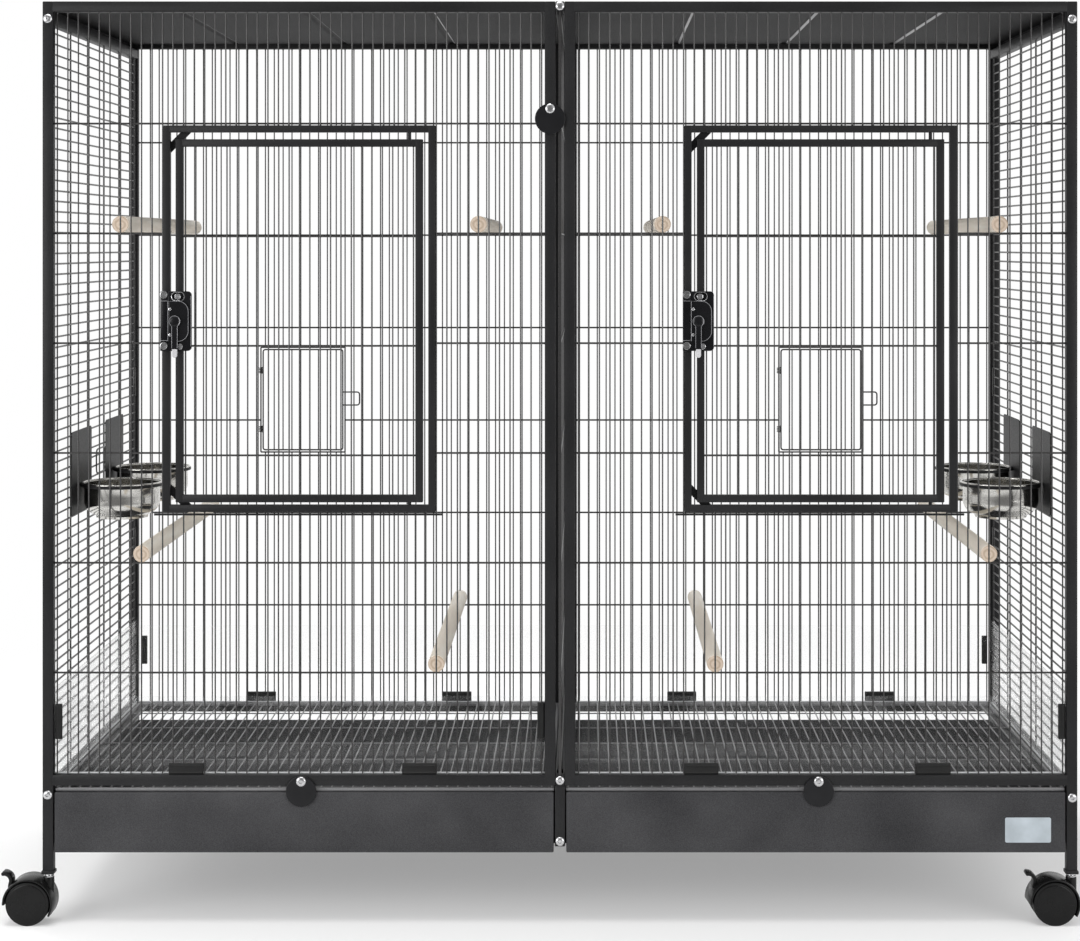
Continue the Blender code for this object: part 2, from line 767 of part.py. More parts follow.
# Hatches
def hatch(side, name):
    left, right = hatch_span(side)
    half = EDGE_BAR / 2
    frame_left = left + half + HATCH_GAP
    frame_right = right - half - HATCH_GAP
    bottom = HATCH_BOTTOM + half + HATCH_GAP
    top = HATCH_TOP - half - HATCH_GAP
    corners = [HATCH_CORNER] * 4
    inner = [HATCH_CORNER - EDGE_BAR] * 4
    frame = plate(
        "XZ",
        rounded(frame_left, bottom, frame_right, top, corners, 2),
        PLANE_Y - half,
        PLANE_Y + half,
        [
            rounded(
                frame_left + EDGE_BAR,
                bottom + EDGE_BAR,
                frame_right - EDGE_BAR,
                top - EDGE_BAR,
                inner,
                1,
            )
        ],
    )
    lines = []
    middle = side * CAGE_CENTRE
    for index in range(-WIRES_EACH_SIDE, WIRES_EACH_SIDE + 1):
        x = middle + index * WIRE_PITCH
        if frame_left + 2 * EDGE_BAR < x < frame_right - 2 * EDGE_BAR:
            y = PLANE_Y
            lines.append(((x, y, bottom + EDGE_BAR - BITE), (x, y, top - EDGE_BAR + BITE)))
    knuckles = []
    for start in (HATCH_BOTTOM + KNUCKLE_INSET, HATCH_TOP - KNUCKLE_INSET - KNUCKLE_LENGTH):
        ends = ((left, PLANE_Y, start), (left, PLANE_Y, start + KNUCKLE_LENGTH))
        over = ((left, PLANE_Y, start - PAST), (left, PLANE_Y, start + KNUCKLE_LENGTH + PAST))
        knuckles.append(cut(rod(*ends, KNUCKLE_RADIUS, 8), rod(*over, KNUCKLE_BORE, 8)))
    loop_top = LOOP_BOTTOM + LOOP_HEIGHT - LOOP_RADIUS
    loop_bottom = LOOP_BOTTOM + LOOP_RADIUS
    root = frame_right - half
    far = root + LOOP_WIDTH
    out = PLANE_Y + LOOP_STANDOFF
    corner = LOOP_CORNER
    turn_in = LOOP_RADIUS / 3
    loop = bent_wire(
        [
            (root, PLANE_Y + turn_in, loop_bottom),
            (root, out - turn_in, loop_bottom),
            (root + LOOP_RADIUS, out, loop_bottom),
            (far - corner, out, loop_bottom),
            (far, out, loop_bottom + corner),
            (far, out, loop_top - corner),
            (far - corner, out, loop_top),
            (root + LOOP_RADIUS, out, loop_top),
            (root, out - turn_in, loop_top),
            (root, PLANE_Y + turn_in, loop_top),
        ],
        LOOP_RADIUS,
    )
    whole = union(frame, wires(lines), *knuckles, loop)
    return finish(whole, name + "hatch", CHARCOAL, pivot=(left, PLANE_Y, HATCH_BOTTOM))


# Side panels
def side_panel(side, name):
    outer = side * CAGE_OUTER
    inner = outer - side * TUBE
    web_in = inner - side * CHANNEL_WEB
    ledge = inner - side * CHANNEL_FLANGE
    rail_top = BACK_RAIL_BOTTOM + TUBE
    channel = [
        (outer, BACK_RAIL_BOTTOM),
        (outer, rail_top),
        (web_in, rail_top),
        (web_in, GRATE_LEDGE_TOP),
        (ledge, GRATE_LEDGE_TOP),
        (ledge, GRATE_LEDGE_TOP - CHANNEL_WEB),
        (web_in, GRATE_LEDGE_TOP - CHANNEL_WEB),
        (web_in, CHANNEL_BOTTOM + CHANNEL_WEB),
        (ledge, CHANNEL_BOTTOM + CHANNEL_WEB),
        (ledge, CHANNEL_BOTTOM),
        (inner, CHANNEL_BOTTOM),
        (inner, BACK_RAIL_BOTTOM),
    ]
    rail = plate("XZ", channel, -BETWEEN_PANELS, BETWEEN_PANELS)
    top_bottom = SIDE_TOP_RAIL_TOP - TUBE
    low_x, high_x = sorted((outer, inner))
    top = box((low_x, -BETWEEN_PANELS, top_bottom), (high_x, BETWEEN_PANELS, SIDE_TOP_RAIL_TOP))
    x = side * SIDE_MESH_X
    half = EDGE_BAR / 2
    bar_y = FRAME_FACE - TUBE - EDGE_INSET - half
    bars = []
    for face in (-1, 1):
        y = face * bar_y
        low = (x - half, y - half, rail_top - BITE)
        bars.append(box(low, (x + half, y + half, top_bottom + BITE)))
    mesh = ladder_wires(x, x + side * 2 * LAYER, bar_y - half, rail_top, top_bottom)
    return finish(union(rail, top, *bars, mesh), name + "side_panel", CHARCOAL)


# Roofs
def roof(side, name):
    """A thin sheet with shallow ribs, its flanges standing beside the rails that carry it."""
    half = ROOF_SHEET / 2
    outer = CAGE_OUTER - ROOF_OUTER_GAP - half
    inner = CAGE_INNER + FIT + half
    level = ROOF_TOP - half
    profile = [(outer, SIDE_TOP_RAIL_TOP + FIT), (outer, level)]
    width = outer - inner
    for index in range(ROOF_RIBS):
        x = outer - width * (index + 1) / (ROOF_RIBS + 1)
        profile.append((x + RIB_WIDTH / 2, level))
        profile.append((x + RIB_WIDTH / 4, level + RIB_RISE))
        profile.append((x - RIB_WIDTH / 4, level + RIB_RISE))
        profile.append((x - RIB_WIDTH / 2, level))
    profile += [(inner, level), (inner, ROOF_TOP - ROOF_INNER_FLANGE)]
    bm = bmesh.new()
    rows = []
    for y in (-BETWEEN_PANELS, BETWEEN_PANELS):
        rows.append([bm.verts.new((side * x, y, z)) for x, z in profile])
    for index in range(len(profile) - 1):
        front, back = rows
        bm.faces.new((front[index], front[index + 1], back[index + 1], back[index]))
    sheet = helper_from_bmesh("sheet", bm)
    shell = sheet.modifiers.new("shell", "SOLIDIFY")
    shell.thickness = ROOF_SHEET
    shell.offset = 0.0
    shell.use_even_offset = True
    return finish(union(sheet), name + "roof", CHARCOAL)


# Centre frame, top rail and divider
def mirrored(half):
    return half + [(-x, z) for x, z in reversed(half)]


def centre_frame():
    """The depth rail in the gap, the web with its ledges below it, and a foot at each end."""
    rail = CENTRE_RAIL_WIDTH / 2
    web = CHANNEL_WEB / 2
    ledge = CENTRE_LEDGE
    rail_top = FRONT_RAIL_BOTTOM + TUBE
    half = [
        (web, FRONT_RAIL_BOTTOM + BITE),
        (web, GRATE_LEDGE_TOP),
        (ledge, GRATE_LEDGE_TOP),
        (ledge, GRATE_LEDGE_TOP - CHANNEL_WEB),
        (web, GRATE_LEDGE_TOP - CHANNEL_WEB),
        (web, CHANNEL_BOTTOM + CHANNEL_WEB),
        (ledge, CHANNEL_BOTTOM + CHANNEL_WEB),
        (ledge, CHANNEL_BOTTOM),
    ]
    beam = plate("XZ", mirrored(half), -BETWEEN_PANELS, BETWEEN_PANELS)
    depth_rail = box((-rail, -FRAME_FACE, FRONT_RAIL_BOTTOM), (rail, FRAME_FACE, rail_top))
    pieces = [beam]
    for side in (-1, 1):
        near, far = sorted((side * GUIDE_GROOVE, side * (GUIDE_GROOVE + GUIDE_WALL)))
        low = (near, -BETWEEN_PANELS, rail_top - BITE)
        pieces.append(box(low, (far, BETWEEN_PANELS, rail_top + GUIDE_HEIGHT)))
    stub = STUB_WIDTH / 2
    neck = rail - STUB_NECK_INSET
    for face in (-1, 1):
        near, far = sorted((face * (BETWEEN_PANELS - 2 * BITE), face * (FRAME_FACE - BITE)))
        low_y, high_y = sorted((face * (FRAME_FACE - TUBE), face * FRAME_FACE))
        foot_top = (FRONT_RAIL_BOTTOM if face < 0 else BACK_RAIL_BOTTOM) - FIT
        foot_bottom = CHANNEL_BOTTOM - BITE
        pieces.append(
            box((-neck, near, foot_bottom + 3 * BITE), (neck, far, FRONT_RAIL_BOTTOM + BITE))
        )
        pieces.append(box((-stub, low_y, foot_bottom), (stub, high_y, foot_top)))
    return finish(union(depth_rail, *pieces), "centre_frame", CHARCOAL)


def centre_top_rail():
    rail = CENTRE_RAIL_WIDTH / 2
    groove = GUIDE_GROOVE
    bottom = TOTAL_HEIGHT - CENTRE_TOP_RAIL_HEIGHT
    half = [
        (rail, TOTAL_HEIGHT),
        (rail, bottom),
        (groove + GUIDE_WALL, bottom),
        (groove + GUIDE_WALL, bottom - GUIDE_HEIGHT),
        (groove, bottom - GUIDE_HEIGHT),
        (groove, bottom),
    ]
    rail_beam = plate("XZ", mirrored(half), -FRAME_FACE, FRAME_FACE)
    return finish(rail_beam, "centre_top_rail", CHARCOAL)


def divider():
    half = DIVIDER_THICKNESS / 2
    end = FRAME_FACE - DIVIDER_SETBACK
    bottom = FRONT_RAIL_BOTTOM + TUBE + FIT
    top = TOTAL_HEIGHT - CENTRE_TOP_RAIL_HEIGHT - FIT
    hole = rectangle(-end + DIVIDER_BAR, bottom + DIVIDER_BAR, end - DIVIDER_BAR, top - DIVIDER_BAR)
    frame = plate("YZ", rectangle(-end, bottom, end, top), -half, half, [hole])
    lines = []
    count = int((hole[2][0] - hole[0][0]) / WIRE_PITCH / 2)
    for index in range(-count, count + 1):
        y = index * WIRE_PITCH
        lines.append(((-LAYER, y, hole[0][1] - BITE), (-LAYER, y, hole[2][1] + BITE)))
    for z in LEVEL_HEIGHTS:
        lines.append(((LAYER, hole[0][0] - BITE, z), (LAYER, hole[2][0] + BITE, z)))
    return finish(union(frame, wires(lines)), "divider", CHARCOAL)


def disc_latch(x, pivot_z, name):
    y = DISC_BACK_Y
    rim = circle((x, pivot_z - DISC_PIVOT_RISE), DISC_RADIUS, 24)
    hole = circle((x, pivot_z), bore_radius(PIVOT_BOLT_RADIUS, 8), 8)
    disc = plate("XZ", rim, DISC_FRONT_Y, y, [hole])
    return finish(disc, name, BLACK, pivot=(x, y, pivot_z), smooth=True)


# Grates and drawers
def grate(side, name):
    inner = STUB_WIDTH / 2 + GRATE_CENTRE_GAP
    outer = CAGE_OUTER - TUBE - CHANNEL_WEB - FIT
    low_x, high_x = sorted((side * inner, side * outer))
    front = -PLANE_Y - GRATE_BAR / 2
    back = BETWEEN_PANELS - GRATE_BACK_GAP
    bottom = GRATE_BOTTOM
    top = bottom + GRATE_BAR
    hole = rectangle(low_x + GRATE_BAR, front + GRATE_BAR, high_x - GRATE_BAR, back - GRATE_BAR)
    frame = plate("XY", rectangle(low_x, front, high_x, back), bottom, top, [hole])
    z_runs = top - WIRE_RADIUS - FIT
    z_cross = z_runs - 2 * LAYER
    lines = []
    middle = side * CAGE_CENTRE
    for index in range(-WIRES_EACH_SIDE, WIRES_EACH_SIDE + 1):
        x = middle + index * WIRE_PITCH
        lines.append(((x, hole[0][1] - BITE, z_runs), (x, hole[2][1] + BITE, z_runs)))
    for index in range(GRATE_CROSS_WIRES):
        y = front + (back - front) * (index + GRATE_CROSS_START) / GRATE_CROSS_STEPS
        lines.append(((hole[0][0] - BITE, y, z_cross), (hole[2][0] + BITE, y, z_cross)))
    return finish(union(frame, wires(lines)), name + "grate", LIGHT_GREY)


def drawer(side, name):
    channel = CAGE_OUTER - TUBE - CHANNEL_WEB
    front_low, front_high = sorted((side * (STUB_WIDTH / 2 + DRAWER_SIDE_GAP), side * channel))
    tray_low, tray_high = sorted(
        (side * (STUB_WIDTH / 2 + TRAY_CENTRE_GAP), side * (channel - TRAY_SIDE_GAP))
    )
    front_y = -FRAME_FACE
    back_y = front_y + DRAWER_FRONT_THICKNESS
    bottom = CHANNEL_BOTTOM + CHANNEL_WEB + FIT
    top = bottom + TRAY_HEIGHT
    wall = TRAY_WALL
    face = box(
        (front_low, front_y, DRAWER_FRONT_BOTTOM),
        (front_high, back_y, GRATE_LEDGE_TOP - 2 * FIT),
    )
    tray = box((tray_low, back_y - BITE, bottom), (tray_high, TRAY_BACK, top))
    room = box(
        (tray_low + wall, back_y + wall, bottom + wall),
        (tray_high - wall, TRAY_BACK - wall, top + PAST),
    )
    pivot = ((front_low + front_high) / 2, front_y, bottom)
    return finish(union(face, cut(tray, room)), name + "drawer", DRAWER_GREY, pivot=pivot)


# Guards
def guards(side, name):
    low_x, high_x = sorted(
        (side * (CAGE_INNER + TUBE + FIT), side * (CAGE_OUTER - TUBE - FIT))
    )
    near = PLANE_Y - LAYER - WIRE_RADIUS - FIT
    far = near - GUARD_THICKNESS
    front_bottom = FRONT_RAIL_BOTTOM + TUBE + FIT
    back_bottom = BACK_RAIL_BOTTOM + TUBE + FIT
    front = box((low_x, -near, front_bottom), (high_x, -far, GUARD_TOP))
    back = box((low_x, far, back_bottom), (high_x, near, GUARD_TOP))
    side_low, side_high = sorted((side * PLATE_X, side * (PLATE_X - GUARD_THICKNESS)))
    flank = box(
        (side_low, -BETWEEN_PANELS, back_bottom),
        (side_high, BETWEEN_PANELS, SIDE_GUARD_TOP),
    )
    finish(front, name + "front_guard", CLEAR)
    finish(back, name + "back_guard", CLEAR)
    finish(flank, name + "side_guard", CLEAR)


# Perches
def perch(name, side, wire, level):
    x = side * CAGE_CENTRE + wire * WIRE_PITCH
    z = LEVEL_HEIGHTS[level] + WIRE_RADIUS + FIT + PERCH_RADIUS
    bar = rod((x, -PERCH_END, z), (x, PERCH_END, z), PERCH_RADIUS, 10)
    slots = []
    half = PERCH_SLOT_WIDTH / 2
    reach = PERCH_RADIUS + PAST
    for face in (-1, 1):
        low, high = sorted((face * (PERCH_END - PERCH_SLOT_DEPTH), face * (PERCH_END + PAST)))
        slots.append(box((x - half, low, z - reach), (x + half, high, z + reach)))
    return finish(cut(bar, *slots), name, WOOD, smooth=True)


# Bowls and holders
def bowl(side, face, name):
    """A steel cup turned from one profile: rim, outer wall, foot and inner wall."""
    rim_bottom = -BOWL_RIM_THICKNESS
    foot = -BOWL_DEPTH
    body = BOWL_BODY_RADIUS
    wall = BOWL_WALL
    bend = BOWL_BEND
    profile = [
        (0.0, foot + wall),
        (BOWL_FOOT_RADIUS - wall / 2, foot + wall),
        (body - wall, foot + bend),
        (body - wall, 0.0),
        (BOWL_RADIUS, 0.0),
        (BOWL_RADIUS, rim_bottom),
        (body, rim_bottom),
        (body, foot + bend),
        (BOWL_FOOT_RADIUS, foot),
        (0.0, foot),
    ]
    place = Vector((side * BOWL_X, face * BOWL_Y, BOWL_RIM_TOP))
    cup = turned(profile, ROUND_STEPS, Matrix.Translation(place))
    return finish(cup, name, STEEL, pivot=place, smooth=True)


def bowl_holder(side, face, name):
    """A plate against the side mesh with the ring that the bowl drops into."""
    y = face * BOWL_Y
    outline = rounded(
        y - PLATE_WIDTH / 2,
        PLATE_BOTTOM,
        y + PLATE_WIDTH / 2,
        PLATE_BOTTOM + PLATE_HEIGHT,
        [PLATE_CORNER] * 4,
        1,
    )
    low, high = sorted((side * PLATE_X, side * (PLATE_X - PLATE_THICKNESS)))
    back = plate("YZ", outline, low, high)
    top = BOWL_RIM_TOP - BOWL_RIM_THICKNESS - FIT
    inner = bore_radius(BOWL_BODY_RADIUS, ROUND_STEPS)
    outer = BOWL_RADIUS + 2 * FIT + PLATE_THICKNESS / 2
    x = side * BOWL_X
    bottom = top - RING_HEIGHT
    ring = cut(
        rod((x, y, bottom), (x, y, top), outer, ROUND_STEPS),
        rod((x, y, bottom - PAST), (x, y, top + PAST), inner, ROUND_STEPS),
    )
    return finish(union(back, ring), name, CHARCOAL)


# Casters
def caster(side, face, name):
    """Twin wheels under a hood that swivels below the leg, with a brake tab on the trailing side."""
    trail = -1.0 if face < 0 else 1.0
    leg_x = side * POST_X
    leg_y = face * PLANE_Y
    axle = Vector((leg_x + trail * CASTER_TRAIL, leg_y, WHEEL_RADIUS))
    half = CASTER_WIDTH / 2
    body = CASTER_BODY_WIDTH / 2

    def turn_to(outline):
        return [(axle.x - trail * x, axle.z + z) for x, z in outline]

    band = arc((0.0, 0.0), HOOD_RADIUS, HOOD_FROM, HOOD_TO, HOOD_STEPS)
    band += arc((0.0, 0.0), HOOD_RADIUS - HOOD_WALL, HOOD_TO, HOOD_FROM, HOOD_STEPS)
    rim = HOOD_RADIUS - HOOD_WALL / 2
    web = arc((0.0, 0.0), rim, HOOD_FROM, HOOD_TO, HOOD_STEPS)
    web += arc((0.0, 0.0), HOOD_HUB_RADIUS, HOOD_TO, HOOD_FROM + 360.0, 4)
    hole = circle((0.0, 0.0), bore_radius(AXLE_RADIUS, 8), 8)
    shell = plate("XZ", turn_to(band), leg_y - half, leg_y + half)
    core = plate("XZ", turn_to(web), leg_y - body, leg_y + body, [turn_to(hole)])
    neck_drop = math.sqrt(HOOD_RADIUS**2 - (CASTER_TRAIL + NECK_RADIUS) ** 2)
    neck_bottom = WHEEL_RADIUS + neck_drop - HOOD_WALL
    washer_top = STEM_SEAT - FIT
    neck = rod((leg_x, leg_y, neck_bottom), (leg_x, leg_y, NECK_TOP), NECK_RADIUS, 10)
    room_low = (axle.x, leg_y - half, axle.z)
    room_high = (axle.x, leg_y + half, axle.z)
    neck = cut(neck, rod(room_low, room_high, rim, 24))
    washer_low = (leg_x, leg_y, NECK_TOP - 2 * BITE)
    washer = rod(washer_low, (leg_x, leg_y, washer_top), WASHER_RADIUS, 10)
    stem_top = STEM_SEAT + STEM_LENGTH
    stem = rod((leg_x, leg_y, NECK_TOP - BITE), (leg_x, leg_y, stem_top), STEM_RADIUS, 8)
    hood = union(shell, core, neck, washer, stem)
    finish(hood, name + "caster_hood", BLACK, pivot=(leg_x, leg_y, STEM_SEAT), smooth=True)

    inside = body + WHEEL_SIDE_GAP
    outside = half - FIT
    chamfer = WHEEL_CHAMFER
    radius = WHEEL_RADIUS / math.cos(math.pi / ROUND_STEPS)
    half_profile = [
        (0.0, outside),
        (radius - chamfer, outside),
        (radius, outside - chamfer),
        (radius, inside),
        (AXLE_RADIUS, inside),
    ]
    profile = half_profile + [(r, -z) for r, z in reversed(half_profile)]
    lay = Matrix.Translation(axle) @ Matrix.Rotation(math.radians(90.0), 4, "X")
    flat_down = Matrix.Rotation(math.pi / ROUND_STEPS, 4, "Z")
    wheels = turned(profile, ROUND_STEPS, lay @ flat_down)
    finish(wheels, name + "caster_wheels", RUBBER, pivot=axle, smooth=True)

    angle = math.radians(BRAKE_ANGLE)
    out = Vector((math.cos(angle), math.sin(angle)))
    root = out * (HOOD_RADIUS + FIT + BRAKE_ROOT_RADIUS)
    tip = out * (HOOD_RADIUS + BRAKE_LENGTH)
    across = Vector((-out.y, out.x)) * BRAKE_THICKNESS / 2
    lean = math.degrees(math.asin(BRAKE_THICKNESS / 2 / BRAKE_ROOT_RADIUS))
    start = BRAKE_ANGLE + lean
    outline = arc(tuple(root), BRAKE_ROOT_RADIUS, start, start + 360.0 - 2 * lean, 8)
    lift = Vector((0.0, BRAKE_LIFT))
    outline += [tuple(tip - across + lift), tuple(tip + across + lift)]
    tab_half = BRAKE_WIDTH / 2
    flipped = [(axle.x + trail * -x, axle.z + z) for x, z in outline]
    tab = plate("XZ", flipped, leg_y - tab_half, leg_y + tab_half)
    pivot = (axle.x - trail * root.x, leg_y, axle.z + root.y)
    finish(tab, name + "caster_brake", BLACK, pivot=pivot)


# The whole cage
for side, word in ((-1, "left_"), (1, "right_")):
    front_panel(side, word)
    back_panel(side, word)
    side_panel(side, word)
    roof(side, word)
    grate(side, word)
    drawer(side, word)
    guards(side, word)
    hatch(side, word)
    swinging = door(side, word)
    case = lock_case(side, word)
    lever = lock_lever(side, word)
    carry(case, swinging)
    carry(lever, swinging)
    disc_latch(side * (CAGE_CENTRE - DISC_OFFSET), DISC_PIVOT_Z, word + "disc_latch")
    for face, place in ((-1, "front_"), (1, "back_")):
        bowl(side, face, word + place + "bowl")
        bowl_holder(side, face, word + place + "bowl_holder")
        caster(side, face, word + place)

for perch_name, side, wire, level in PERCHES:
    perch(perch_name, side, wire, level)

centre_frame()
centre_top_rail()
divider()
disc_latch(-CAGE_INNER - TUBE / 2, DIVIDER_LATCH_Z, "divider_latch")
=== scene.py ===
"""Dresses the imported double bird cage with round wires, tubes, casters, locks, bowls and materials.

In metres, with X to the right, Y to the back and Z up.
"""

import math

import bmesh
import bpy
from mathutils import Matrix, Vector


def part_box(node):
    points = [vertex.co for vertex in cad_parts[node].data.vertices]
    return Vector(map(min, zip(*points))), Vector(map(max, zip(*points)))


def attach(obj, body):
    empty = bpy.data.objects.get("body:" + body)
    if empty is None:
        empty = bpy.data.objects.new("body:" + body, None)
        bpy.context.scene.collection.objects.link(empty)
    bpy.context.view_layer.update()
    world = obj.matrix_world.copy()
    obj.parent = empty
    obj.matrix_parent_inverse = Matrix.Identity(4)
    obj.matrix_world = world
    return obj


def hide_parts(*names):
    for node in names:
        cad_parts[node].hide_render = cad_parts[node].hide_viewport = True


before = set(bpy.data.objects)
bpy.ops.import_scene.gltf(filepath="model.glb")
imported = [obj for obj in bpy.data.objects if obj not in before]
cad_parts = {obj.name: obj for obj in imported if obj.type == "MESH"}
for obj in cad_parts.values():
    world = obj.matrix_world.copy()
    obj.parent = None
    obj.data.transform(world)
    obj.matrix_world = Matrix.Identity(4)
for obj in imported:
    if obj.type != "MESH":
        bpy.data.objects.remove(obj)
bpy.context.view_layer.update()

# Sizes shared with the solids
CAGE_CENTRE = 0.4375
CAGE_INNER = 0.0075
CAGE_OUTER = 0.8675
FRAME_FACE = 0.3675
TUBE = 0.018
PLANE_Y = FRAME_FACE - TUBE / 2
TOTAL_HEIGHT = 1.546
RAIL_HEIGHTS = {-1: 0.231, 1: 0.207}
LEG_FOOT = 0.0829
WIRE_PITCH = 0.01768
WIRES_EACH_SIDE = 23
LAYER = 0.00115
LEVEL_HEIGHTS = [0.419 + 0.1845 * index for index in range(6)]
SURROUND_HALF = 0.2285
SURROUND_TUBE = 0.012
SURROUND_BOTTOM = 0.6894
SURROUND_TOP = 1.3384
DOOR_LEVELS = [0.784 + 0.184 * index for index in range(3)]
DOOR_WIRE_PITCH = 0.0174
DOOR_TUBE = 0.0113
DOOR_HALF = 0.2075
DOOR_BOTTOM = 0.7056
DOOR_TOP = 1.315
HATCH_LEFT_PITCHES = {-1: -9.5, 1: -0.5}
HATCH_WIDTH_PITCHES = 9.5
HATCH_BOTTOM = 0.724
HATCH_TOP = 0.933
SIDE_PITCH = 0.0177
SIDE_MESH_X = 0.855
SIDE_TOP = 1.508
CHANNEL_TOP = 0.225
CHANNEL_SHELVES = (0.130, 0.219)
SHELF_THICKNESS = 0.002
WHEEL_RADIUS = 0.0365
CASTER_TRAIL = 0.031
CASTER_WIDTH = 0.052
HOOD_RADIUS = 0.042
LOCK_LEFT = -0.2184
LOCK_WIDTH = 0.0389
LOCK_BOTTOM = 0.960
LOCK_HEIGHT = 0.100
LOCK_FRONT_Y = -0.3728
DISC_RADIUS = 0.0255
DISC_PIVOT_RISE = 0.017
DISC_FRONT_Y = -0.3718
GRATE_BOTTOM = 0.2213
GRATE_BAR = 0.005

# Sizes that only the looks need
WIRE = 0.00124
LEVEL_WIRE = 0.00165
THICK_WIRE = 0.0015
SILL_WIRE = 0.0018
DOOR_TUBE_FACE = 0.0126
TUBE_EDGE = 0.0016
SMALL_TUBE_EDGE = 0.0012
SHARP_ANGLE = 35.0
NUB_RADIUS = 0.0019
NUB_LENGTH = 0.0026
BOLT_RADIUS = 0.0079
CLIP_Y = 0.3597
CLIP_DEPTH = 0.0070
BOLT_PLACES = (
    (-0.8585, 1.517), (0.0, 1.538), (0.8585, 1.516),
    (-0.8585, 0.2156), (0.8585, 0.2106), (0.0, 0.240), (0.0, 0.138),
)
PIVOT_PLACES = ((-0.4335, 0.239), (0.4335, 0.239), (-0.0165, 1.366))
FLOOR_FADE_START = 1.05
FLOOR_FADE_END = 2.8
FLOOR_GLOW = 0.28
WORLD_STRENGTH = 0.74
ROOM_STRENGTH = 0.25
ROOM_DARK_Y = -0.95
ROOM_WHITE_Y = -0.35


# Materials
def new_material(name, colour, roughness, metallic=0.0, gloss=0.5):
    material = bpy.data.materials.new(name)
    material.use_nodes = True
    shader = material.node_tree.nodes["Principled BSDF"]
    shader.inputs["Base Color"].default_value = (*colour, 1.0)
    shader.inputs["Roughness"].default_value = roughness
    shader.inputs["Metallic"].default_value = metallic
    shader.inputs["Specular IOR Level"].default_value = gloss
    return material, shader


def node(owner, kind, **settings):
    """A shader node of a material or the world, with its inputs and properties set by name."""
    made = owner.node_tree.nodes.new("ShaderNode" + kind)
    for name, value in settings.items():
        if name in made.inputs:
            made.inputs[name].default_value = value
        else:
            setattr(made, name, value)
    return made


def join(source, target):
    source.id_data.links.new(source, target)


def calculate(owner, operation, *values):
    """The outcome of a Math node, each of whose values is a socket or a number."""
    made = node(owner, "Math", operation=operation)
    for value, entry in zip(values, made.inputs):
        if isinstance(value, float):
            entry.default_value = value
        else:
            join(value, entry)
    return made.outputs[0]


def mixed(owner, factor, first, second):
    made = node(owner, "MixShader")
    join(factor, made.inputs["Fac"])
    join(first, made.inputs[1])
    join(second, made.inputs[2])
    return made.outputs["Shader"]


def coordinates(material, scale=(1.0, 1.0, 1.0)):
    place = node(material, "TexCoord")
    stretch = node(material, "Mapping")
    stretch.inputs["Scale"].default_value = scale
    join(place.outputs["Object"], stretch.inputs["Vector"])
    return stretch.outputs["Vector"]


def noise(material, vector, scale, detail=3.0):
    made = node(material, "TexNoise", Scale=scale, Detail=detail)
    join(vector, made.inputs["Vector"])
    return made.outputs["Fac"]


def tint(material, shader, factor, stops):
    """A colour for each stop of the factor, as (place, colour)."""
    made = node(material, "ValToRGB")
    band = made.color_ramp
    while len(band.elements) < len(stops):
        band.elements.new(0.5)
    for element, (place, colour) in zip(band.elements, stops):
        element.position = place
        element.color = (*colour, 1.0)
    join(factor, made.inputs["Fac"])
    join(made.outputs["Color"], shader.inputs["Base Color"])


def wear(material, shader, factor, low, high):
    """A roughness from low to high along the factor."""
    made = node(material, "MapRange", **{"To Min": low, "To Max": high})
    join(factor, made.inputs["Value"])
    join(made.outputs["Result"], shader.inputs["Roughness"])


def bump(material, shader, height, strength, distance):
    made = node(material, "Bump", Strength=strength, Distance=distance)
    join(height, made.inputs["Height"])
    join(made.outputs["Normal"], shader.inputs["Normal"])


def hammered_paint(name, dark, light, roughness, gloss):
    """Powder coat with the fine cells of a hammered finish and slow changes of shade."""
    material, shader = new_material(name, dark, roughness, gloss=gloss)
    where = coordinates(material)
    cells = node(material, "TexVoronoi", Scale=520.0, feature="SMOOTH_F1")
    join(where, cells.inputs["Vector"])
    specks = noise(material, where, 900.0, 2.0)
    slow = calculate(material, "MULTIPLY", noise(material, where, 6.0, 2.0), 0.45)
    shade = calculate(material, "MULTIPLY_ADD", specks, 0.55, slow)
    tint(material, shader, shade, [(0.36, dark), (0.66, light)])
    wear(material, shader, cells.outputs["Distance"], roughness - 0.07, roughness + 0.13)
    bump(material, shader, cells.outputs["Distance"], 0.35, 0.0003)
    return material


def moulded_plastic(name, colour, roughness, gloss=0.5, grain=1400.0):
    material, shader = new_material(name, colour, roughness, gloss=gloss)
    where = coordinates(material)
    fine = noise(material, where, grain, 2.0)
    slow = noise(material, where, 30.0, 3.0)
    lighter = tuple(min(1.0, channel * 1.35 + 0.002) for channel in colour)
    tint(material, shader, slow, [(0.3, colour), (0.8, lighter)])
    wear(material, shader, slow, roughness - 0.05, roughness + 0.08)
    bump(material, shader, fine, 0.12, 0.0001)
    return material


def metal(name, colour, roughness, stretch, grain):
    """Metal with fine lines, drawn out along the axes where the stretch is small."""
    material, shader = new_material(name, colour, roughness, metallic=1.0)
    where = coordinates(material, stretch)
    lines = noise(material, where, grain, 4.0)
    dull = tuple(channel * 0.90 for channel in colour)
    tint(material, shader, lines, [(0.3, dull), (0.7, colour)])
    wear(material, shader, lines, roughness - 0.04, roughness + 0.05)
    bump(material, shader, lines, 0.02, 0.00002)
    return material


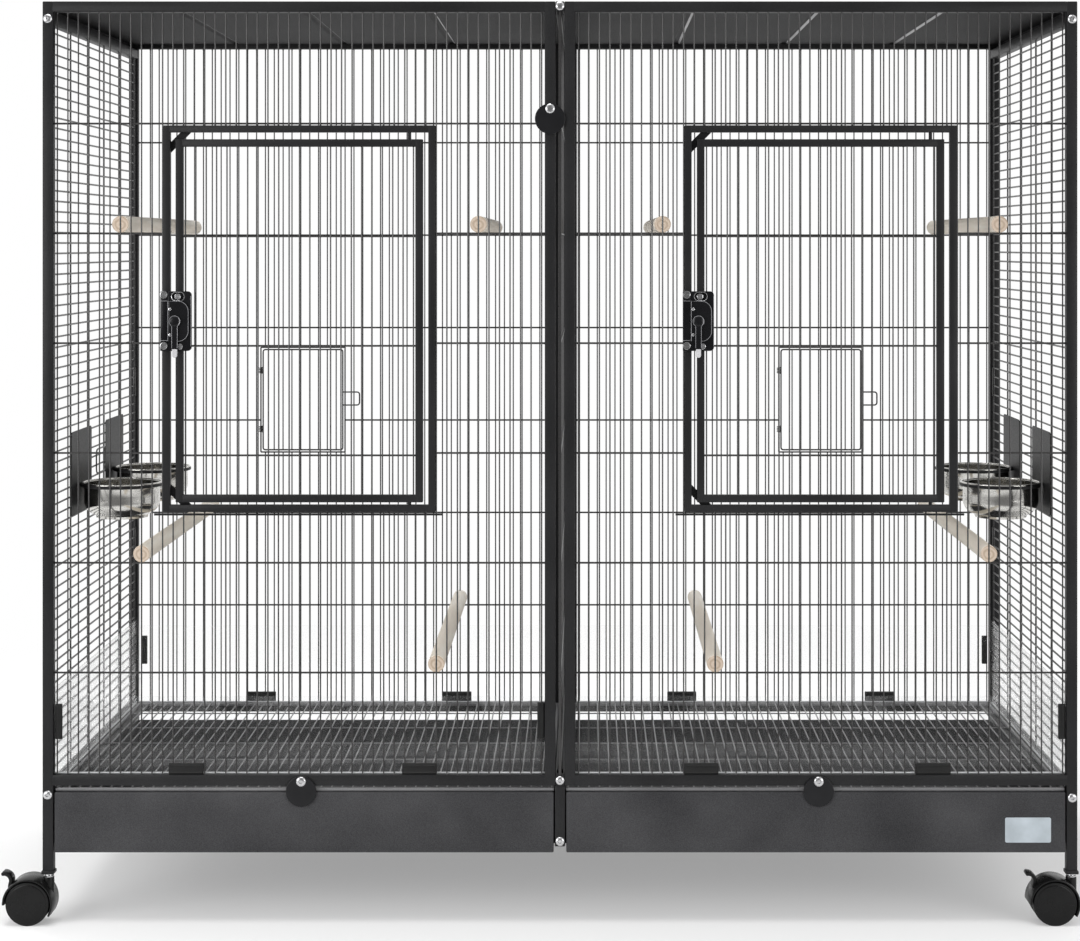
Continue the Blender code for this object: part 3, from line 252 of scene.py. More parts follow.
def sanded_wood(name, dark, middle, light):
    material, shader = new_material(name, middle, 0.62)
    where = coordinates(material, (1.0, 0.09, 1.0))
    rings = node(material, "TexWave", Scale=46.0, Distortion=5.0, Detail=3.0)
    rings.wave_type = "RINGS"
    rings.rings_direction = "Y"
    join(where, rings.inputs["Vector"])
    fibres = noise(material, where, 420.0, 4.0)
    ring_part = calculate(material, "MULTIPLY", rings.outputs["Fac"], 0.6)
    both = calculate(material, "MULTIPLY_ADD", fibres, 0.4, ring_part)
    tint(material, shader, both, [(0.20, dark), (0.48, middle), (0.80, light)])
    wear(material, shader, fibres, 0.55, 0.72)
    bump(material, shader, fibres, 0.25, 0.0002)
    return material


def clear_sheet(name, colour, body):
    """Thin acrylic that most light passes, with a body for its gloss and slight tint."""
    material, shader = new_material(name, colour, 0.04)
    shader.inputs["IOR"].default_value = 1.49
    shader.inputs["Transmission Weight"].default_value = 0.8
    shader.inputs["Alpha"].default_value = body
    smears = noise(material, coordinates(material), 9.0, 4.0)
    wear(material, shader, smears, 0.02, 0.09)
    return material


FRAME_PAINT = hammered_paint(
    "frame_paint", (0.0085, 0.0085, 0.009), (0.021, 0.021, 0.022), 0.42, 0.18
)
WIRE_PAINT = hammered_paint("wire_paint", (0.016, 0.015, 0.015), (0.029, 0.028, 0.028), 0.30, 0.50)
ROOF_PAINT = hammered_paint("roof_paint", (0.013, 0.013, 0.014), (0.024, 0.024, 0.025), 0.60, 0.08)
DRAWER_PAINT = hammered_paint(
    "drawer_paint", (0.017, 0.017, 0.019), (0.062, 0.062, 0.065), 0.46, 0.20
)
GRATE_PAINT = hammered_paint("grate_paint", (0.12, 0.12, 0.125), (0.24, 0.24, 0.245), 0.36, 0.50)
LOCK_BLACK = moulded_plastic("lock_black", (0.004, 0.004, 0.005), 0.22, 0.22)
DISC_BLACK = moulded_plastic("disc_black", (0.007, 0.007, 0.008), 0.32, 0.22)
CASTER_BLACK = moulded_plastic("caster_black", (0.004, 0.004, 0.004), 0.26, 0.20)
CLIP_BLACK = moulded_plastic("clip_black", (0.008, 0.008, 0.008), 0.40, 0.25)
TYRE_BLACK = moulded_plastic("tyre_black", (0.005, 0.005, 0.005), 0.45, 0.20, grain=700.0)
TIP_GREY = moulded_plastic("tip_grey", (0.42, 0.42, 0.43), 0.40)
PLATE_WHITE = moulded_plastic("blank_plate", (0.34, 0.38, 0.41), 0.35, 0.3)
# Pale grey for the painted highlights along the roof ribs.
PAINTED_RIB_HIGHLIGHT = moulded_plastic("painted_rib_highlight", (0.30, 0.30, 0.31), 0.30)
# Pale grey for thin painted highlights along the edges of the locks.
EDGE_HIGHLIGHT_GREY = moulded_plastic("painted_edge_highlight", (0.20, 0.20, 0.21), 0.25)
# Pale grey for the painted highlight along the bottom edge of each clear sheet.
SHEET_EDGE_HIGHLIGHT = moulded_plastic("sheet_edge_highlight", (0.50, 0.51, 0.52), 0.50)
BOWL_STEEL = metal("bowl_steel", (0.66, 0.65, 0.62), 0.13, (0.5, 0.5, 14.0), 30.0)
BOLT_STEEL = metal("bolt_steel", (0.58, 0.58, 0.59), 0.26, (1.0, 1.0, 1.0), 300.0)
DARK_STEEL = metal("dark_steel", (0.42, 0.42, 0.425), 0.24, (1.0, 1.0, 1.0), 500.0)
WOOD = sanded_wood("perch_wood", (0.84, 0.76, 0.65), (0.90, 0.84, 0.74), (0.94, 0.90, 0.83))
END_GRAIN = sanded_wood("perch_end", (0.36, 0.28, 0.21), (0.43, 0.34, 0.26), (0.50, 0.41, 0.33))
CLEAR = clear_sheet("clear_acrylic", (0.95, 0.96, 0.96), 0.07)
# A greyer, denser copy of the acrylic for the side sheets, a painted veil of reflection.
VEILED_SIDE_SHEET = clear_sheet("side_sheet_painted_veil", (0.80, 0.80, 0.80), 0.22)


# Shapes, each added to a bmesh in world coordinates
def bevelled_box(bm, low, high, edge=TUBE_EDGE, steps=2):
    low = Vector(low)
    high = Vector(high)
    place = Matrix.Translation((low + high) / 2) @ Matrix.Diagonal((*(high - low), 1.0))
    corners = bmesh.ops.create_cube(bm, size=1.0, matrix=place)["verts"]
    edges = list(dict.fromkeys(line for corner in corners for line in corner.link_edges))
    bmesh.ops.bevel(bm, geom=edges, offset=edge, segments=steps, profile=0.5, affect="EDGES")


def cone(bm, start, end, start_radius, end_radius, sides):
    start = Vector(start)
    end = Vector(end)
    along = end - start
    turn = along.to_track_quat("Z", "Y").to_matrix().to_4x4()
    place = Matrix.Translation((start + end) / 2) @ turn
    sizes = {"radius1": start_radius, "radius2": end_radius, "depth": along.length}
    bmesh.ops.create_cone(bm, cap_ends=True, segments=sides, matrix=place, **sizes)


def wire(bm, start, end, radius=WIRE, welded=True):
    """A round wire, with the small weld at each end where it meets a tube."""
    start = Vector(start)
    end = Vector(end)
    cone(bm, start, end, radius, radius, 8)
    if welded:
        along = (end - start).normalized() * NUB_LENGTH
        cone(bm, start, start + along, NUB_RADIUS, radius, 6)
        cone(bm, end, end - along, NUB_RADIUS, radius, 6)


def bridge(bm, first, second):
    """Faces between two rings of points, either of which may be a single point."""
    count = max(len(first), len(second))
    for step in range(count):
        following = (step + 1) % count
        if len(first) == 1:
            bm.faces.new((first[0], second[step], second[following]))
        elif len(second) == 1:
            bm.faces.new((first[step], first[following], second[0]))
        else:
            bm.faces.new((first[step], first[following], second[following], second[step]))


def sweep(bm, points, radius, sides=8, closed=False):
    """A round wire along bends, with a ring of points square to the path at each bend."""
    points = [Vector(point) for point in points]
    count = len(points)
    rings = []
    normal = None
    for index, point in enumerate(points):
        before = points[index - 1] if closed or index > 0 else point
        after = points[(index + 1) % count] if closed or index < count - 1 else point
        along = (after - before).normalized()
        if normal is None:
            normal = along.orthogonal().normalized()
        normal = (normal - along * normal.dot(along)).normalized()
        side = along.cross(normal)
        ring = []
        for step in range(sides):
            angle = 2 * math.pi * step / sides
            offset = normal * math.cos(angle) + side * math.sin(angle)
            ring.append(bm.verts.new(point + offset * radius))
        rings.append(ring)
    for first, second in zip(rings, rings[1:]):
        bridge(bm, first, second)
    if closed:
        bridge(bm, rings[-1], rings[0])
    else:
        bm.faces.new(list(reversed(rings[0])))
        bm.faces.new(rings[-1])


def arc(centre, radius, start, end, steps):
    """Points on an arc, its angles in degrees."""
    points = []
    for index in range(steps + 1):
        angle = math.radians(start + (end - start) * index / steps)
        points.append((centre[0] + radius * math.cos(angle), centre[1] + radius * math.sin(angle)))
    return points


def rounded(left, bottom, right, top, radii, steps=6):
    """A rectangle with a radius for each corner, from lower left anticlockwise to upper left."""
    corners = ((left, bottom, 180.0), (right, bottom, 270.0), (right, top, 0.0), (left, top, 90.0))
    points = []
    for (x, z, start), radius in zip(corners, radii):
        if radius == 0.0:
            points.append((x, z))
            continue
        centre_x = x + radius if x == left else x - radius
        centre_z = z + radius if z == bottom else z - radius
        points += arc((centre_x, centre_z), radius, start, start + 90.0, steps)
    return points


PLANES = {
    "XZ": Matrix(((1, 0, 0, 0), (0, 0, -1, 0), (0, 1, 0, 0), (0, 0, 0, 1))),
    "YZ": Matrix(((0, 0, 1, 0), (1, 0, 0, 0), (0, 1, 0, 0), (0, 0, 0, 1))),
}
NORMALS = {"XZ": (0, 1, 0), "YZ": (1, 0, 0)}


def plate(bm, outline, low, high, holes=(), edge=0.0004, plane="XZ"):
    """A flat outline with holes and rounded edges, from low to high along the plane's normal."""
    data = bpy.data.curves.new("plate", "CURVE")
    data.dimensions = "2D"
    data.fill_mode = "BOTH"
    data.extrude = (high - low) / 2 - edge
    data.bevel_depth = edge
    data.bevel_resolution = 1
    data.offset = -edge
    for ring in (outline, *holes):
        spline = data.splines.new("POLY")
        spline.points.add(len(ring) - 1)
        for point, (across, up) in zip(spline.points, ring):
            point.co = (across, up, 0.0, 1.0)
        spline.use_cyclic_u = True
    curve = add_object("plate", data)
    graph = bpy.context.evaluated_depsgraph_get()
    mesh = bpy.data.meshes.new_from_object(curve.evaluated_get(graph))
    bpy.data.objects.remove(curve)
    shift = Vector(NORMALS[plane]) * ((low + high) / 2)
    mesh.transform(Matrix.Translation(shift) @ PLANES[plane])
    bm.from_mesh(mesh)
    bpy.data.meshes.remove(mesh)


FACING = {
    "-Y": Matrix.Rotation(math.radians(90.0), 4, "X"),
    "+Y": Matrix.Rotation(math.radians(-90.0), 4, "X"),
    "+X": Matrix.Rotation(math.radians(90.0), 4, "Y"),
    "-X": Matrix.Rotation(math.radians(-90.0), 4, "Y"),
    "+Z": Matrix.Identity(4),
}


def lathe(bm, profile, centre, facing="+Z", steps=48):
    """A profile of radius and height turned about the line through the centre that way."""
    place = Matrix.Translation(centre) @ FACING[facing]
    rings = []
    for radius, height in profile:
        if radius < 1e-6:
            rings.append([bm.verts.new(place @ Vector((0.0, 0.0, height)))])
            continue
        ring = []
        for step in range(steps):
            angle = 2 * math.pi * step / steps
            point = Vector((radius * math.cos(angle), radius * math.sin(angle), height))
            ring.append(bm.verts.new(place @ point))
        rings.append(ring)
    for first, second in zip(rings, rings[1:]):
        bridge(bm, first, second)


def button_head(bm, centre, facing, radius=BOLT_RADIUS, rise=0.0034):
    """A domed screw head with its socket, standing on the point that is given."""
    shape = [(0.0, 0.35), (0.36, 0.35), (0.3816, 0.98), (0.60, 0.92), (0.85, 0.62)]
    shape += [(0.97, 0.28), (1.0, 0.0), (0.9, -0.3), (0.0, -0.3)]
    profile = [(radius * out, rise * up) for out, up in shape]
    lathe(bm, profile, centre, facing, 28)


def add_object(name, data):
    obj = bpy.data.objects.new(name, data)
    bpy.context.scene.collection.objects.link(obj)
    return obj


def piece(name, bm, material, body="root", replaced=(), origin=(0, 0, 0)):
    """Ends a bmesh as a piece that rides on a body and may stand for solids."""
    bmesh.ops.recalc_face_normals(bm, faces=bm.faces)
    mesh = bpy.data.meshes.new(name)
    bm.to_mesh(mesh)
    bm.free()
    mesh.transform(Matrix.Translation(-Vector(origin)))
    mesh.materials.append(material)
    mesh.shade_smooth()
    mesh.set_sharp_from_angle(angle=math.radians(SHARP_ANGLE))
    obj = add_object(name, mesh)
    obj.location = origin
    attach(obj, body)
    if replaced:
        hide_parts(*replaced)
    return obj


# Panels of tubes and round wires
def panel_tubes(bm, side, face):
    """Post, leg and rails of a front or back panel, and the plug in the foot of the leg."""
    near, far = sorted((face * (FRAME_FACE - TUBE), face * FRAME_FACE))
    rail = RAIL_HEIGHTS[face]
    outer = sorted((side * (CAGE_OUTER - TUBE), side * CAGE_OUTER))
    inner = sorted((side * CAGE_INNER, side * (CAGE_INNER + TUBE)))
    span = sorted((side * (CAGE_INNER + TUBE), side * (CAGE_OUTER - TUBE)))
    foot = LEG_FOOT + 0.0045
    bevelled_box(bm, (outer[0], near, foot), (outer[1], far, TOTAL_HEIGHT))
    bevelled_box(bm, (inner[0], near, rail), (inner[1], far, TOTAL_HEIGHT))
    for bottom in (rail, TOTAL_HEIGHT - TUBE):
        low = (span[0] - TUBE_EDGE, near, bottom)
        bevelled_box(bm, low, (span[1] + TUBE_EDGE, far, bottom + TUBE))
    x = side * (CAGE_OUTER - TUBE / 2)
    y = face * PLANE_Y
    plug_low = (x - 0.0108, y - 0.0108, LEG_FOOT)
    bevelled_box(bm, plug_low, (x + 0.0108, y + 0.0108, LEG_FOOT + 0.0055), 0.001)


def panel_wires(bm, side, face, window):
    """Uprights and level wires broken round a window, each end with its weld."""
    middle = side * CAGE_CENTRE
    left, sill, right, head = window
    half = (CAGE_OUTER - CAGE_INNER) / 2 - TUBE
    bottom = RAIL_HEIGHTS[face] + TUBE
    top = TOTAL_HEIGHT - TUBE
    y = face * (PLANE_Y + LAYER)
    for index in range(-WIRES_EACH_SIDE, WIRES_EACH_SIDE + 1):
        x = middle + index * WIRE_PITCH
        if left < x < right:
            wire(bm, (x, y, bottom), (x, y, sill))
            wire(bm, (x, y, head), (x, y, top))
        else:
            wire(bm, (x, y, bottom), (x, y, top))
    y = face * (PLANE_Y - LAYER)
    for z in LEVEL_HEIGHTS:
        if sill < z < head:
            wire(bm, (middle - half, y, z), (left, y, z), LEVEL_WIRE)
            wire(bm, (right, y, z), (middle + half, y, z), LEVEL_WIRE)
        else:
            wire(bm, (middle - half, y, z), (middle + half, y, z), LEVEL_WIRE)


def tube_ring(bm, middle, half, bottom, top, near, far, tube):
    """Four tubes round an opening, the level ones running a little into the uprights."""
    inside = half - tube
    for x in (middle - half, middle + inside):
        bevelled_box(bm, (x, near, bottom), (x + tube, far, top), SMALL_TUBE_EDGE)
    inside += SMALL_TUBE_EDGE
    for z in (bottom, top - tube):
        low = (middle - inside, near, z)
        bevelled_box(bm, low, (middle + inside, far, z + tube), SMALL_TUBE_EDGE)


def surround(bm, middle):
    """The tubes round the door, the two corner straps that stop it and the sill wire below."""
    half = SURROUND_TUBE / 2
    near = -PLANE_Y - half
    far = -PLANE_Y + half
    size = (SURROUND_HALF, SURROUND_BOTTOM, SURROUND_TOP, near, far, SURROUND_TUBE)
    tube_ring(bm, middle, *size)
    inside = SURROUND_HALF - SURROUND_TUBE
    strap_y = -PLANE_Y + DOOR_TUBE / 2
    corner_x = middle - inside
    sill = SURROUND_BOTTOM + SURROUND_TUBE
    head = SURROUND_TOP - SURROUND_TUBE
    for corner_z, up in ((sill, -1.0), (head, 1.0)):
        along = Vector((1.0, up)).normalized()
        across = Vector((-along.y, along.x)) * 0.0065
        hold = along * 0.0078
        upper = Vector((corner_x + 0.024, corner_z)) + hold
        lower = Vector((corner_x, corner_z - up * 0.024)) - hold
        ends = (lower - across, upper - across, upper + across, lower + across)
        plate(bm, [tuple(end) for end in ends], strap_y, strap_y + 0.0015)
    sill_y = -PLANE_Y - 0.003
    sill_z = SURROUND_BOTTOM - 0.0042
    wire(bm, (middle - 0.2435, sill_y, sill_z), (middle + 0.2409, sill_y, sill_z), SILL_WIRE)


def front_panel(side, word):
    middle = side * CAGE_CENTRE
    window = (middle - SURROUND_HALF, SURROUND_BOTTOM, middle + SURROUND_HALF, SURROUND_TOP)
    bm = bmesh.new()
    panel_tubes(bm, side, -1)
    surround(bm, middle)
    piece(word + "front_tubes", bm, FRAME_PAINT, replaced=[word + "front_panel"])
    bm = bmesh.new()
    panel_wires(bm, side, -1, window)
    piece(word + "front_wires", bm, WIRE_PAINT)


def hatch_span(side):
    left = side * CAGE_CENTRE + HATCH_LEFT_PITCHES[side] * WIRE_PITCH
    return left, left + HATCH_WIDTH_PITCHES * WIRE_PITCH


def back_panel(side, word):
    left, right = hatch_span(side)
    window = (left, HATCH_BOTTOM, right, HATCH_TOP)
    bm = bmesh.new()
    panel_tubes(bm, side, 1)
    piece(word + "back_tubes", bm, FRAME_PAINT, replaced=[word + "back_panel"])
    bm = bmesh.new()
    panel_wires(bm, side, 1, window)
    corners = rounded(left, HATCH_BOTTOM, right, HATCH_TOP, [0.0] * 4)
    corners = [(x, PLANE_Y, z) for x, z in corners]
    for start, end in zip(corners, corners[1:] + corners[:1]):
        wire(bm, start, end, THICK_WIRE, welded=False)
    piece(word + "back_wires", bm, WIRE_PAINT)


def side_panel(side, word):
    """The side's top rail, the channel that carries the drawer and grate, and the close mesh."""
    outer = side * CAGE_OUTER
    inner = outer - side * TUBE
    span = FRAME_FACE - TUBE - 0.0003
    low_x, high_x = sorted((outer, inner))
    bm = bmesh.new()
    for z in (SIDE_TOP, CHANNEL_TOP - TUBE):
        bevelled_box(bm, (low_x, -span, z), (high_x, span, z + TUBE))
    web_low, web_high = sorted((inner, inner - side * 0.002))
    bevelled_box(bm, (web_low, -span, CHANNEL_SHELVES[0]), (web_high, span, CHANNEL_TOP), 0.0004)
    ledge_low, ledge_high = sorted((inner - side * 0.001, inner - side * 0.0225))
    for z in CHANNEL_SHELVES:
        bevelled_box(bm, (ledge_low, -span, z), (ledge_high, span, z + SHELF_THICKNESS), 0.0004)
    piece(word + "side_tubes", bm, FRAME_PAINT, replaced=[word + "side_panel"])
    bm = bmesh.new()
    x = side * SIDE_MESH_X
    bar_y = FRAME_FACE - TUBE - 0.0065
    for y in (-bar_y, bar_y):
        wire(bm, (x, y, CHANNEL_TOP), (x, y, SIDE_TOP), THICK_WIRE)
    count = int((SIDE_TOP - CHANNEL_TOP) / SIDE_PITCH)
    first = (CHANNEL_TOP + SIDE_TOP) / 2 - SIDE_PITCH * (count - 1) / 2
    for index in range(count):
        z = first + SIDE_PITCH * index
        wire(bm, (x, -bar_y, z), (x, bar_y, z), LEVEL_WIRE, welded=False)
    x += side * 2 * LAYER
    for index in range(4):
        y = (bar_y - THICK_WIRE) * (2 * (index + 1) / 5 - 1)
        wire(bm, (x, y, CHANNEL_TOP), (x, y, SIDE_TOP), LEVEL_WIRE)
    piece(word + "side_wires", bm, WIRE_PAINT)


def door(side, word):
    middle = side * CAGE_CENTRE
    half = DOOR_HALF
    bottom = DOOR_BOTTOM
    top = DOOR_TOP
    near = -PLANE_Y - DOOR_TUBE / 2 - 0.0003
    far = near + DOOR_TUBE
    bm = bmesh.new()
    tube_ring(bm, middle, half, bottom, top, near, far, DOOR_TUBE_FACE)
    hinge_x = middle + half - 0.0228
    for start, end in ((bottom, 0.7017), (top, 1.3261)):
        cone(bm, (hinge_x, -PLANE_Y, start), (hinge_x, -PLANE_Y, end), 0.003, 0.003, 20)
    piece(word + "door_tubes", bm, FRAME_PAINT, word + "door", replaced=[word + "door"])
    bm = bmesh.new()
    low = bottom + DOOR_TUBE
    high = top - DOOR_TUBE
    for index in range(-11, 12):
        x = middle + index * DOOR_WIRE_PITCH
        wire(bm, (x, -PLANE_Y - LAYER, low), (x, -PLANE_Y - LAYER, high))
    for z in DOOR_LEVELS:
        reach = half - DOOR_TUBE
        y = -PLANE_Y + LAYER
        wire(bm, (middle - reach, y, z), (middle + reach, y, z), LEVEL_WIRE)
    piece(word + "door_wires", bm, WIRE_PAINT, word + "door")


def hatch(side, word):
    left, right = hatch_span(side)
    frame_left = left + 0.0045
    frame_right = right - 0.0045
    bottom = HATCH_BOTTOM + 0.0045
    top = HATCH_TOP - 0.0045
    bm = bmesh.new()
    outline = rounded(frame_left, bottom, frame_right, top, [0.0045] * 4, 4)
    ring = [(x, PLANE_Y, z) for x, z in outline]
    sweep(bm, ring, THICK_WIRE, closed=True)
    middle = side * CAGE_CENTRE
    for index in range(-WIRES_EACH_SIDE, WIRES_EACH_SIDE + 1):
        x = middle + index * WIRE_PITCH
        if frame_left + 0.006 < x < frame_right - 0.006:
            wire(bm, (x, PLANE_Y, bottom), (x, PLANE_Y, top))
    for start in (HATCH_BOTTOM + 0.040, HATCH_TOP - 0.052):
        spiral = []
        for step in range(37):
            angle = math.radians(20 + step * 40)
            x = left + 0.0032 * math.cos(angle)
            spiral.append((x, PLANE_Y + 0.0032 * math.sin(angle), start + 0.012 * step / 36))
        sweep(bm, spiral, 0.0011, 6)
    root = frame_right
    far = root + 0.033
    out = PLANE_Y + 0.0045
    path = [(root, PLANE_Y, 0.8175), (root, out - 0.0015, 0.8175), (root + 0.0015, out, 0.8175)]
    bend = arc((far - 0.005, 0.8225), 0.005, 270.0, 360.0, 4)
    bend += arc((far - 0.005, 0.8385), 0.005, 0.0, 90.0, 4)
    path += [(x, out, z) for x, z in bend]
    path += [(root + 0.0015, out, 0.8435), (root, out - 0.0015, 0.8435), (root, PLANE_Y, 0.8435)]
    sweep(bm, path, THICK_WIRE)
    name = word + "hatch"
    piece(name + "_wires", bm, WIRE_PAINT, name, replaced=[name])


def centre():
    """The rail and web between the cages, the top rail, and the divider with its own mesh."""
    bm = bmesh.new()
    span = FRAME_FACE - TUBE
    bevelled_box(bm, (-0.0072, -FRAME_FACE, 0.231), (0.0072, FRAME_FACE, 0.249), 0.0012)
    bevelled_box(bm, (-0.001, -span, CHANNEL_SHELVES[0]), (0.001, span, 0.233), 0.0004)
    for z in CHANNEL_SHELVES:
        bevelled_box(bm, (-0.0235, -span, z), (0.0235, span, z + SHELF_THICKNESS), 0.0004)
    for low, high in ((-0.0055, -0.0031), (0.0031, 0.0055)):
        bevelled_box(bm, (low, -span, 0.248), (high, span, 0.255), 0.0004)
    for face, top in ((-1, 0.2307), (1, 0.2067)):
        near, far = sorted((face * span, face * FRAME_FACE))
        bevelled_box(bm, (-0.0085, near, 0.129), (0.0085, far, top))
        neck_low, neck_high = sorted((face * span, face * (FRAME_FACE - 0.001)))
        bevelled_box(bm, (-0.0065, neck_low, 0.132), (0.0065, neck_high, 0.232), 0.001)
    piece("centre_tubes", bm, FRAME_PAINT, replaced=["centre_frame"])
    bm = bmesh.new()
    bevelled_box(bm, (-0.0072, -FRAME_FACE, 1.530), (0.0072, FRAME_FACE, 1.546), 0.0012)
    for low, high in ((-0.0055, -0.0031), (0.0031, 0.0055)):
        bevelled_box(bm, (low, -FRAME_FACE, 1.524), (high, FRAME_FACE, 1.531), 0.0004)
    piece("centre_top", bm, FRAME_PAINT, replaced=["centre_top_rail"])
    bm = bmesh.new()
    end = FRAME_FACE - 0.001
    low = 0.2493
    high = 1.5297
    for y in (-end, end - 0.006):
        bevelled_box(bm, (-0.0025, y, low), (0.0025, y + 0.006, high), 0.0008)
    for z in (low, high - 0.006):
        bevelled_box(bm, (-0.0025, -end + 0.0052, z), (0.0025, end - 0.0052, z + 0.006), 0.0008)
    for index in range(-20, 21):
        y = index * WIRE_PITCH
        wire(bm, (-LAYER, y, low + 0.006), (-LAYER, y, high - 0.006))
    for z in LEVEL_HEIGHTS:
        wire(bm, (LAYER, -end + 0.006, z), (LAYER, end - 0.006, z))
    piece("divider_mesh", bm, WIRE_PAINT, "divider", replaced=["divider"])


# Locks and disc latches
def circle(centre, radius, steps):
    return arc(centre, radius, 0.0, 360.0, steps)[:-1]


def ringed_screw(bm, centre, radius):
    """A flat screw head with a raised ring near its rim and a socket."""
    shape = [(0.0, 0.0006), (0.30, 0.0006), (0.34, 0.0016), (0.62, 0.0016), (0.68, 0.0011)]
    shape += [(0.80, 0.0011), (0.86, 0.0018), (0.97, 0.0016), (1.0, 0.0008), (1.0, -0.0008)]
    shape.append((0.0, -0.0008))
    lathe(bm, [(radius * out, height) for out, height in shape], centre, "-Y", 36)


def lock(side, word):
    """The lock's housing with its slot, the lever with its grey tip, the screws and the keeper."""
    left = side * CAGE_CENTRE + LOCK_LEFT
    right = left + LOCK_WIDTH
    base = LOCK_BOTTOM
    top = base + LOCK_HEIGHT
    face = LOCK_FRONT_Y
    door_body = word + "door"
    bm = bmesh.new()
    slot = rounded(left + 0.0065, top - 0.0155, left + 0.0267, top - 0.0025, [0.0062] * 4)
    outline = rounded(left, base, right, top, (0.0, 0.0067, 0.0067, 0.0))
    plate(bm, outline, face, face + 0.008, [slot], 0.0009)
    floor_low = (left + 0.005, face + 0.005, top - 0.016)
    bevelled_box(bm, floor_low, (left + 0.027, face + 0.0075, top - 0.002), 0.0004)
    low = base + 0.016
    bow = rounded(left + 0.002, low, left + 0.035, low + 0.068, (0.0, 0.0174, 0.0174, 0.0), 10)
    plate(bm, bow, face - 0.005, face + 0.001, edge=0.0012)
    piece(word + "lock_body", bm, LOCK_BLACK, door_body, [word + "lock_case"])

    x = left + 0.0125
    z = base + 0.050
    back = face - 0.0053
    front = back - 0.004
    end_z = z - 0.061
    lean = math.degrees(math.asin(0.005 / 0.0097))
    foot = end_z + 0.0142
    bm = bmesh.new()
    outline = arc((x, z), 0.0097, lean - 90.0, 270.0 - lean, 28)
    outline += [(x - 0.005, foot), (x + 0.005, foot)]
    plate(bm, outline, front, back, edge=0.0009)
    boss = [(0.0, 0.0014), (0.0052, 0.0013), (0.0074, 0.0008), (0.0084, 0.0), (0.0, -0.0006)]
    lathe(bm, boss, (x, front, z), "-Y", 32)
    lever = word + "lock_lever"
    piece(lever + "_arm", bm, LOCK_BLACK, lever, [lever])
    bm = bmesh.new()
    grip = arc((x, end_z + 0.0043), 0.0043, 180.0, 360.0, 12)
    grip += [(x + 0.0043, foot + 0.001), (x - 0.0043, foot + 0.001)]
    plate(bm, grip, front + 0.0003, back - 0.0003, edge=0.0009)
    piece(lever + "_tip", bm, TIP_GREY, lever)
    bm = bmesh.new()
    # The pale outline round the lever's head and the crescent on its boss are painted highlights.
    rim = arc((x, z), 0.0091, lean - 90.0, 270.0 - lean, 28)
    rim = [(x + 0.0046, foot + 0.002), *rim, (x - 0.0046, foot + 0.002)]
    sweep(bm, [(across, front + 0.0003, up) for across, up in rim], 0.00045, 6)
    shine = arc((x, z), 0.0088, -42.0, 38.0, 12)
    sweep(bm, [(across, front, up) for across, up in shine], 0.0008, 6)
    piece(lever + "_outline_highlight", bm, EDGE_HIGHLIGHT_GREY, lever)

    bm = bmesh.new()
    ringed_screw(bm, (left + 0.0155, face + 0.005, top - 0.009), 0.0054)
    ringed_screw(bm, (left + 0.0200, face, base + 0.0076), 0.0050)
    for x, z in ((left + 0.0038, base + 0.070), (left + 0.0040, base + 0.0272)):
        button_head(bm, (x, face - 0.0049, z), "-Y", 0.0026, 0.0005)
    rim = rounded(left + 0.0058, top - 0.0162, left + 0.0274, top - 0.0014, [0.0073] * 4, 10)
    sweep(bm, [(x, face - 0.0002, z) for x, z in rim], 0.0008, 6, closed=True)
    piece(word + "lock_screws", bm, BOLT_STEEL, door_body)

    bm = bmesh.new()
    # The pale lines along the bow's edge and the housing's right edge are painted highlights.
    corners = (0.0, 0.017, 0.017, 0.0)
    edge_glints = rounded(left + 0.0025, low + 0.0005, left + 0.0345, low + 0.0675, corners, 10)
    edge_glints = edge_glints[1:-1] + [(left + 0.0006, low + 0.0675), (left + 0.0006, low + 0.001)]
    sweep(bm, [(x, face - 0.0046, z) for x, z in edge_glints], 0.0005, 6)
    heights = (base + 0.008, base + 0.050, base + 0.092)
    sweep(bm, [(right - 0.0006, face, z) for z in heights], 0.0004, 6)
    piece(word + "lock_seam", bm, EDGE_HIGHLIGHT_GREY, door_body)

    bm = bmesh.new()
    low = (left - 0.0133, face, base)
    bevelled_box(bm, low, (left - 0.0003, face + 0.0088, top), 0.0012)
    piece(word + "keeper_block", bm, LOCK_BLACK)
    bm = bmesh.new()
    # The pale lines across the keeper block are painted highlights of its edges.
    for z in (top - 0.0162, base + 0.0176):
        cone(bm, (left - 0.0128, face, z), (left - 0.0008, face, z), 0.0005, 0.0005, 6)
    piece(word + "keeper_line_highlights", bm, EDGE_HIGHLIGHT_GREY)
    bm = bmesh.new()
    for z in (base + 0.0944, base + 0.0087):
        ringed_screw(bm, (left - 0.0069, face, z), 0.0065)
    piece(word + "keeper_screws", bm, DARK_STEEL)


def disc(name, x, pivot_z):
    """A round flap that hangs on its bolt a little below its top."""
    bm = bmesh.new()
    rim = circle((x, pivot_z - DISC_PIVOT_RISE), DISC_RADIUS, 72)
    hole = circle((x, pivot_z), 0.0043, 24)
    plate(bm, rim, DISC_FRONT_Y, DISC_FRONT_Y + 0.004, [hole], 0.0009)
    piece(name + "_flap", bm, DISC_BLACK, name, [name])


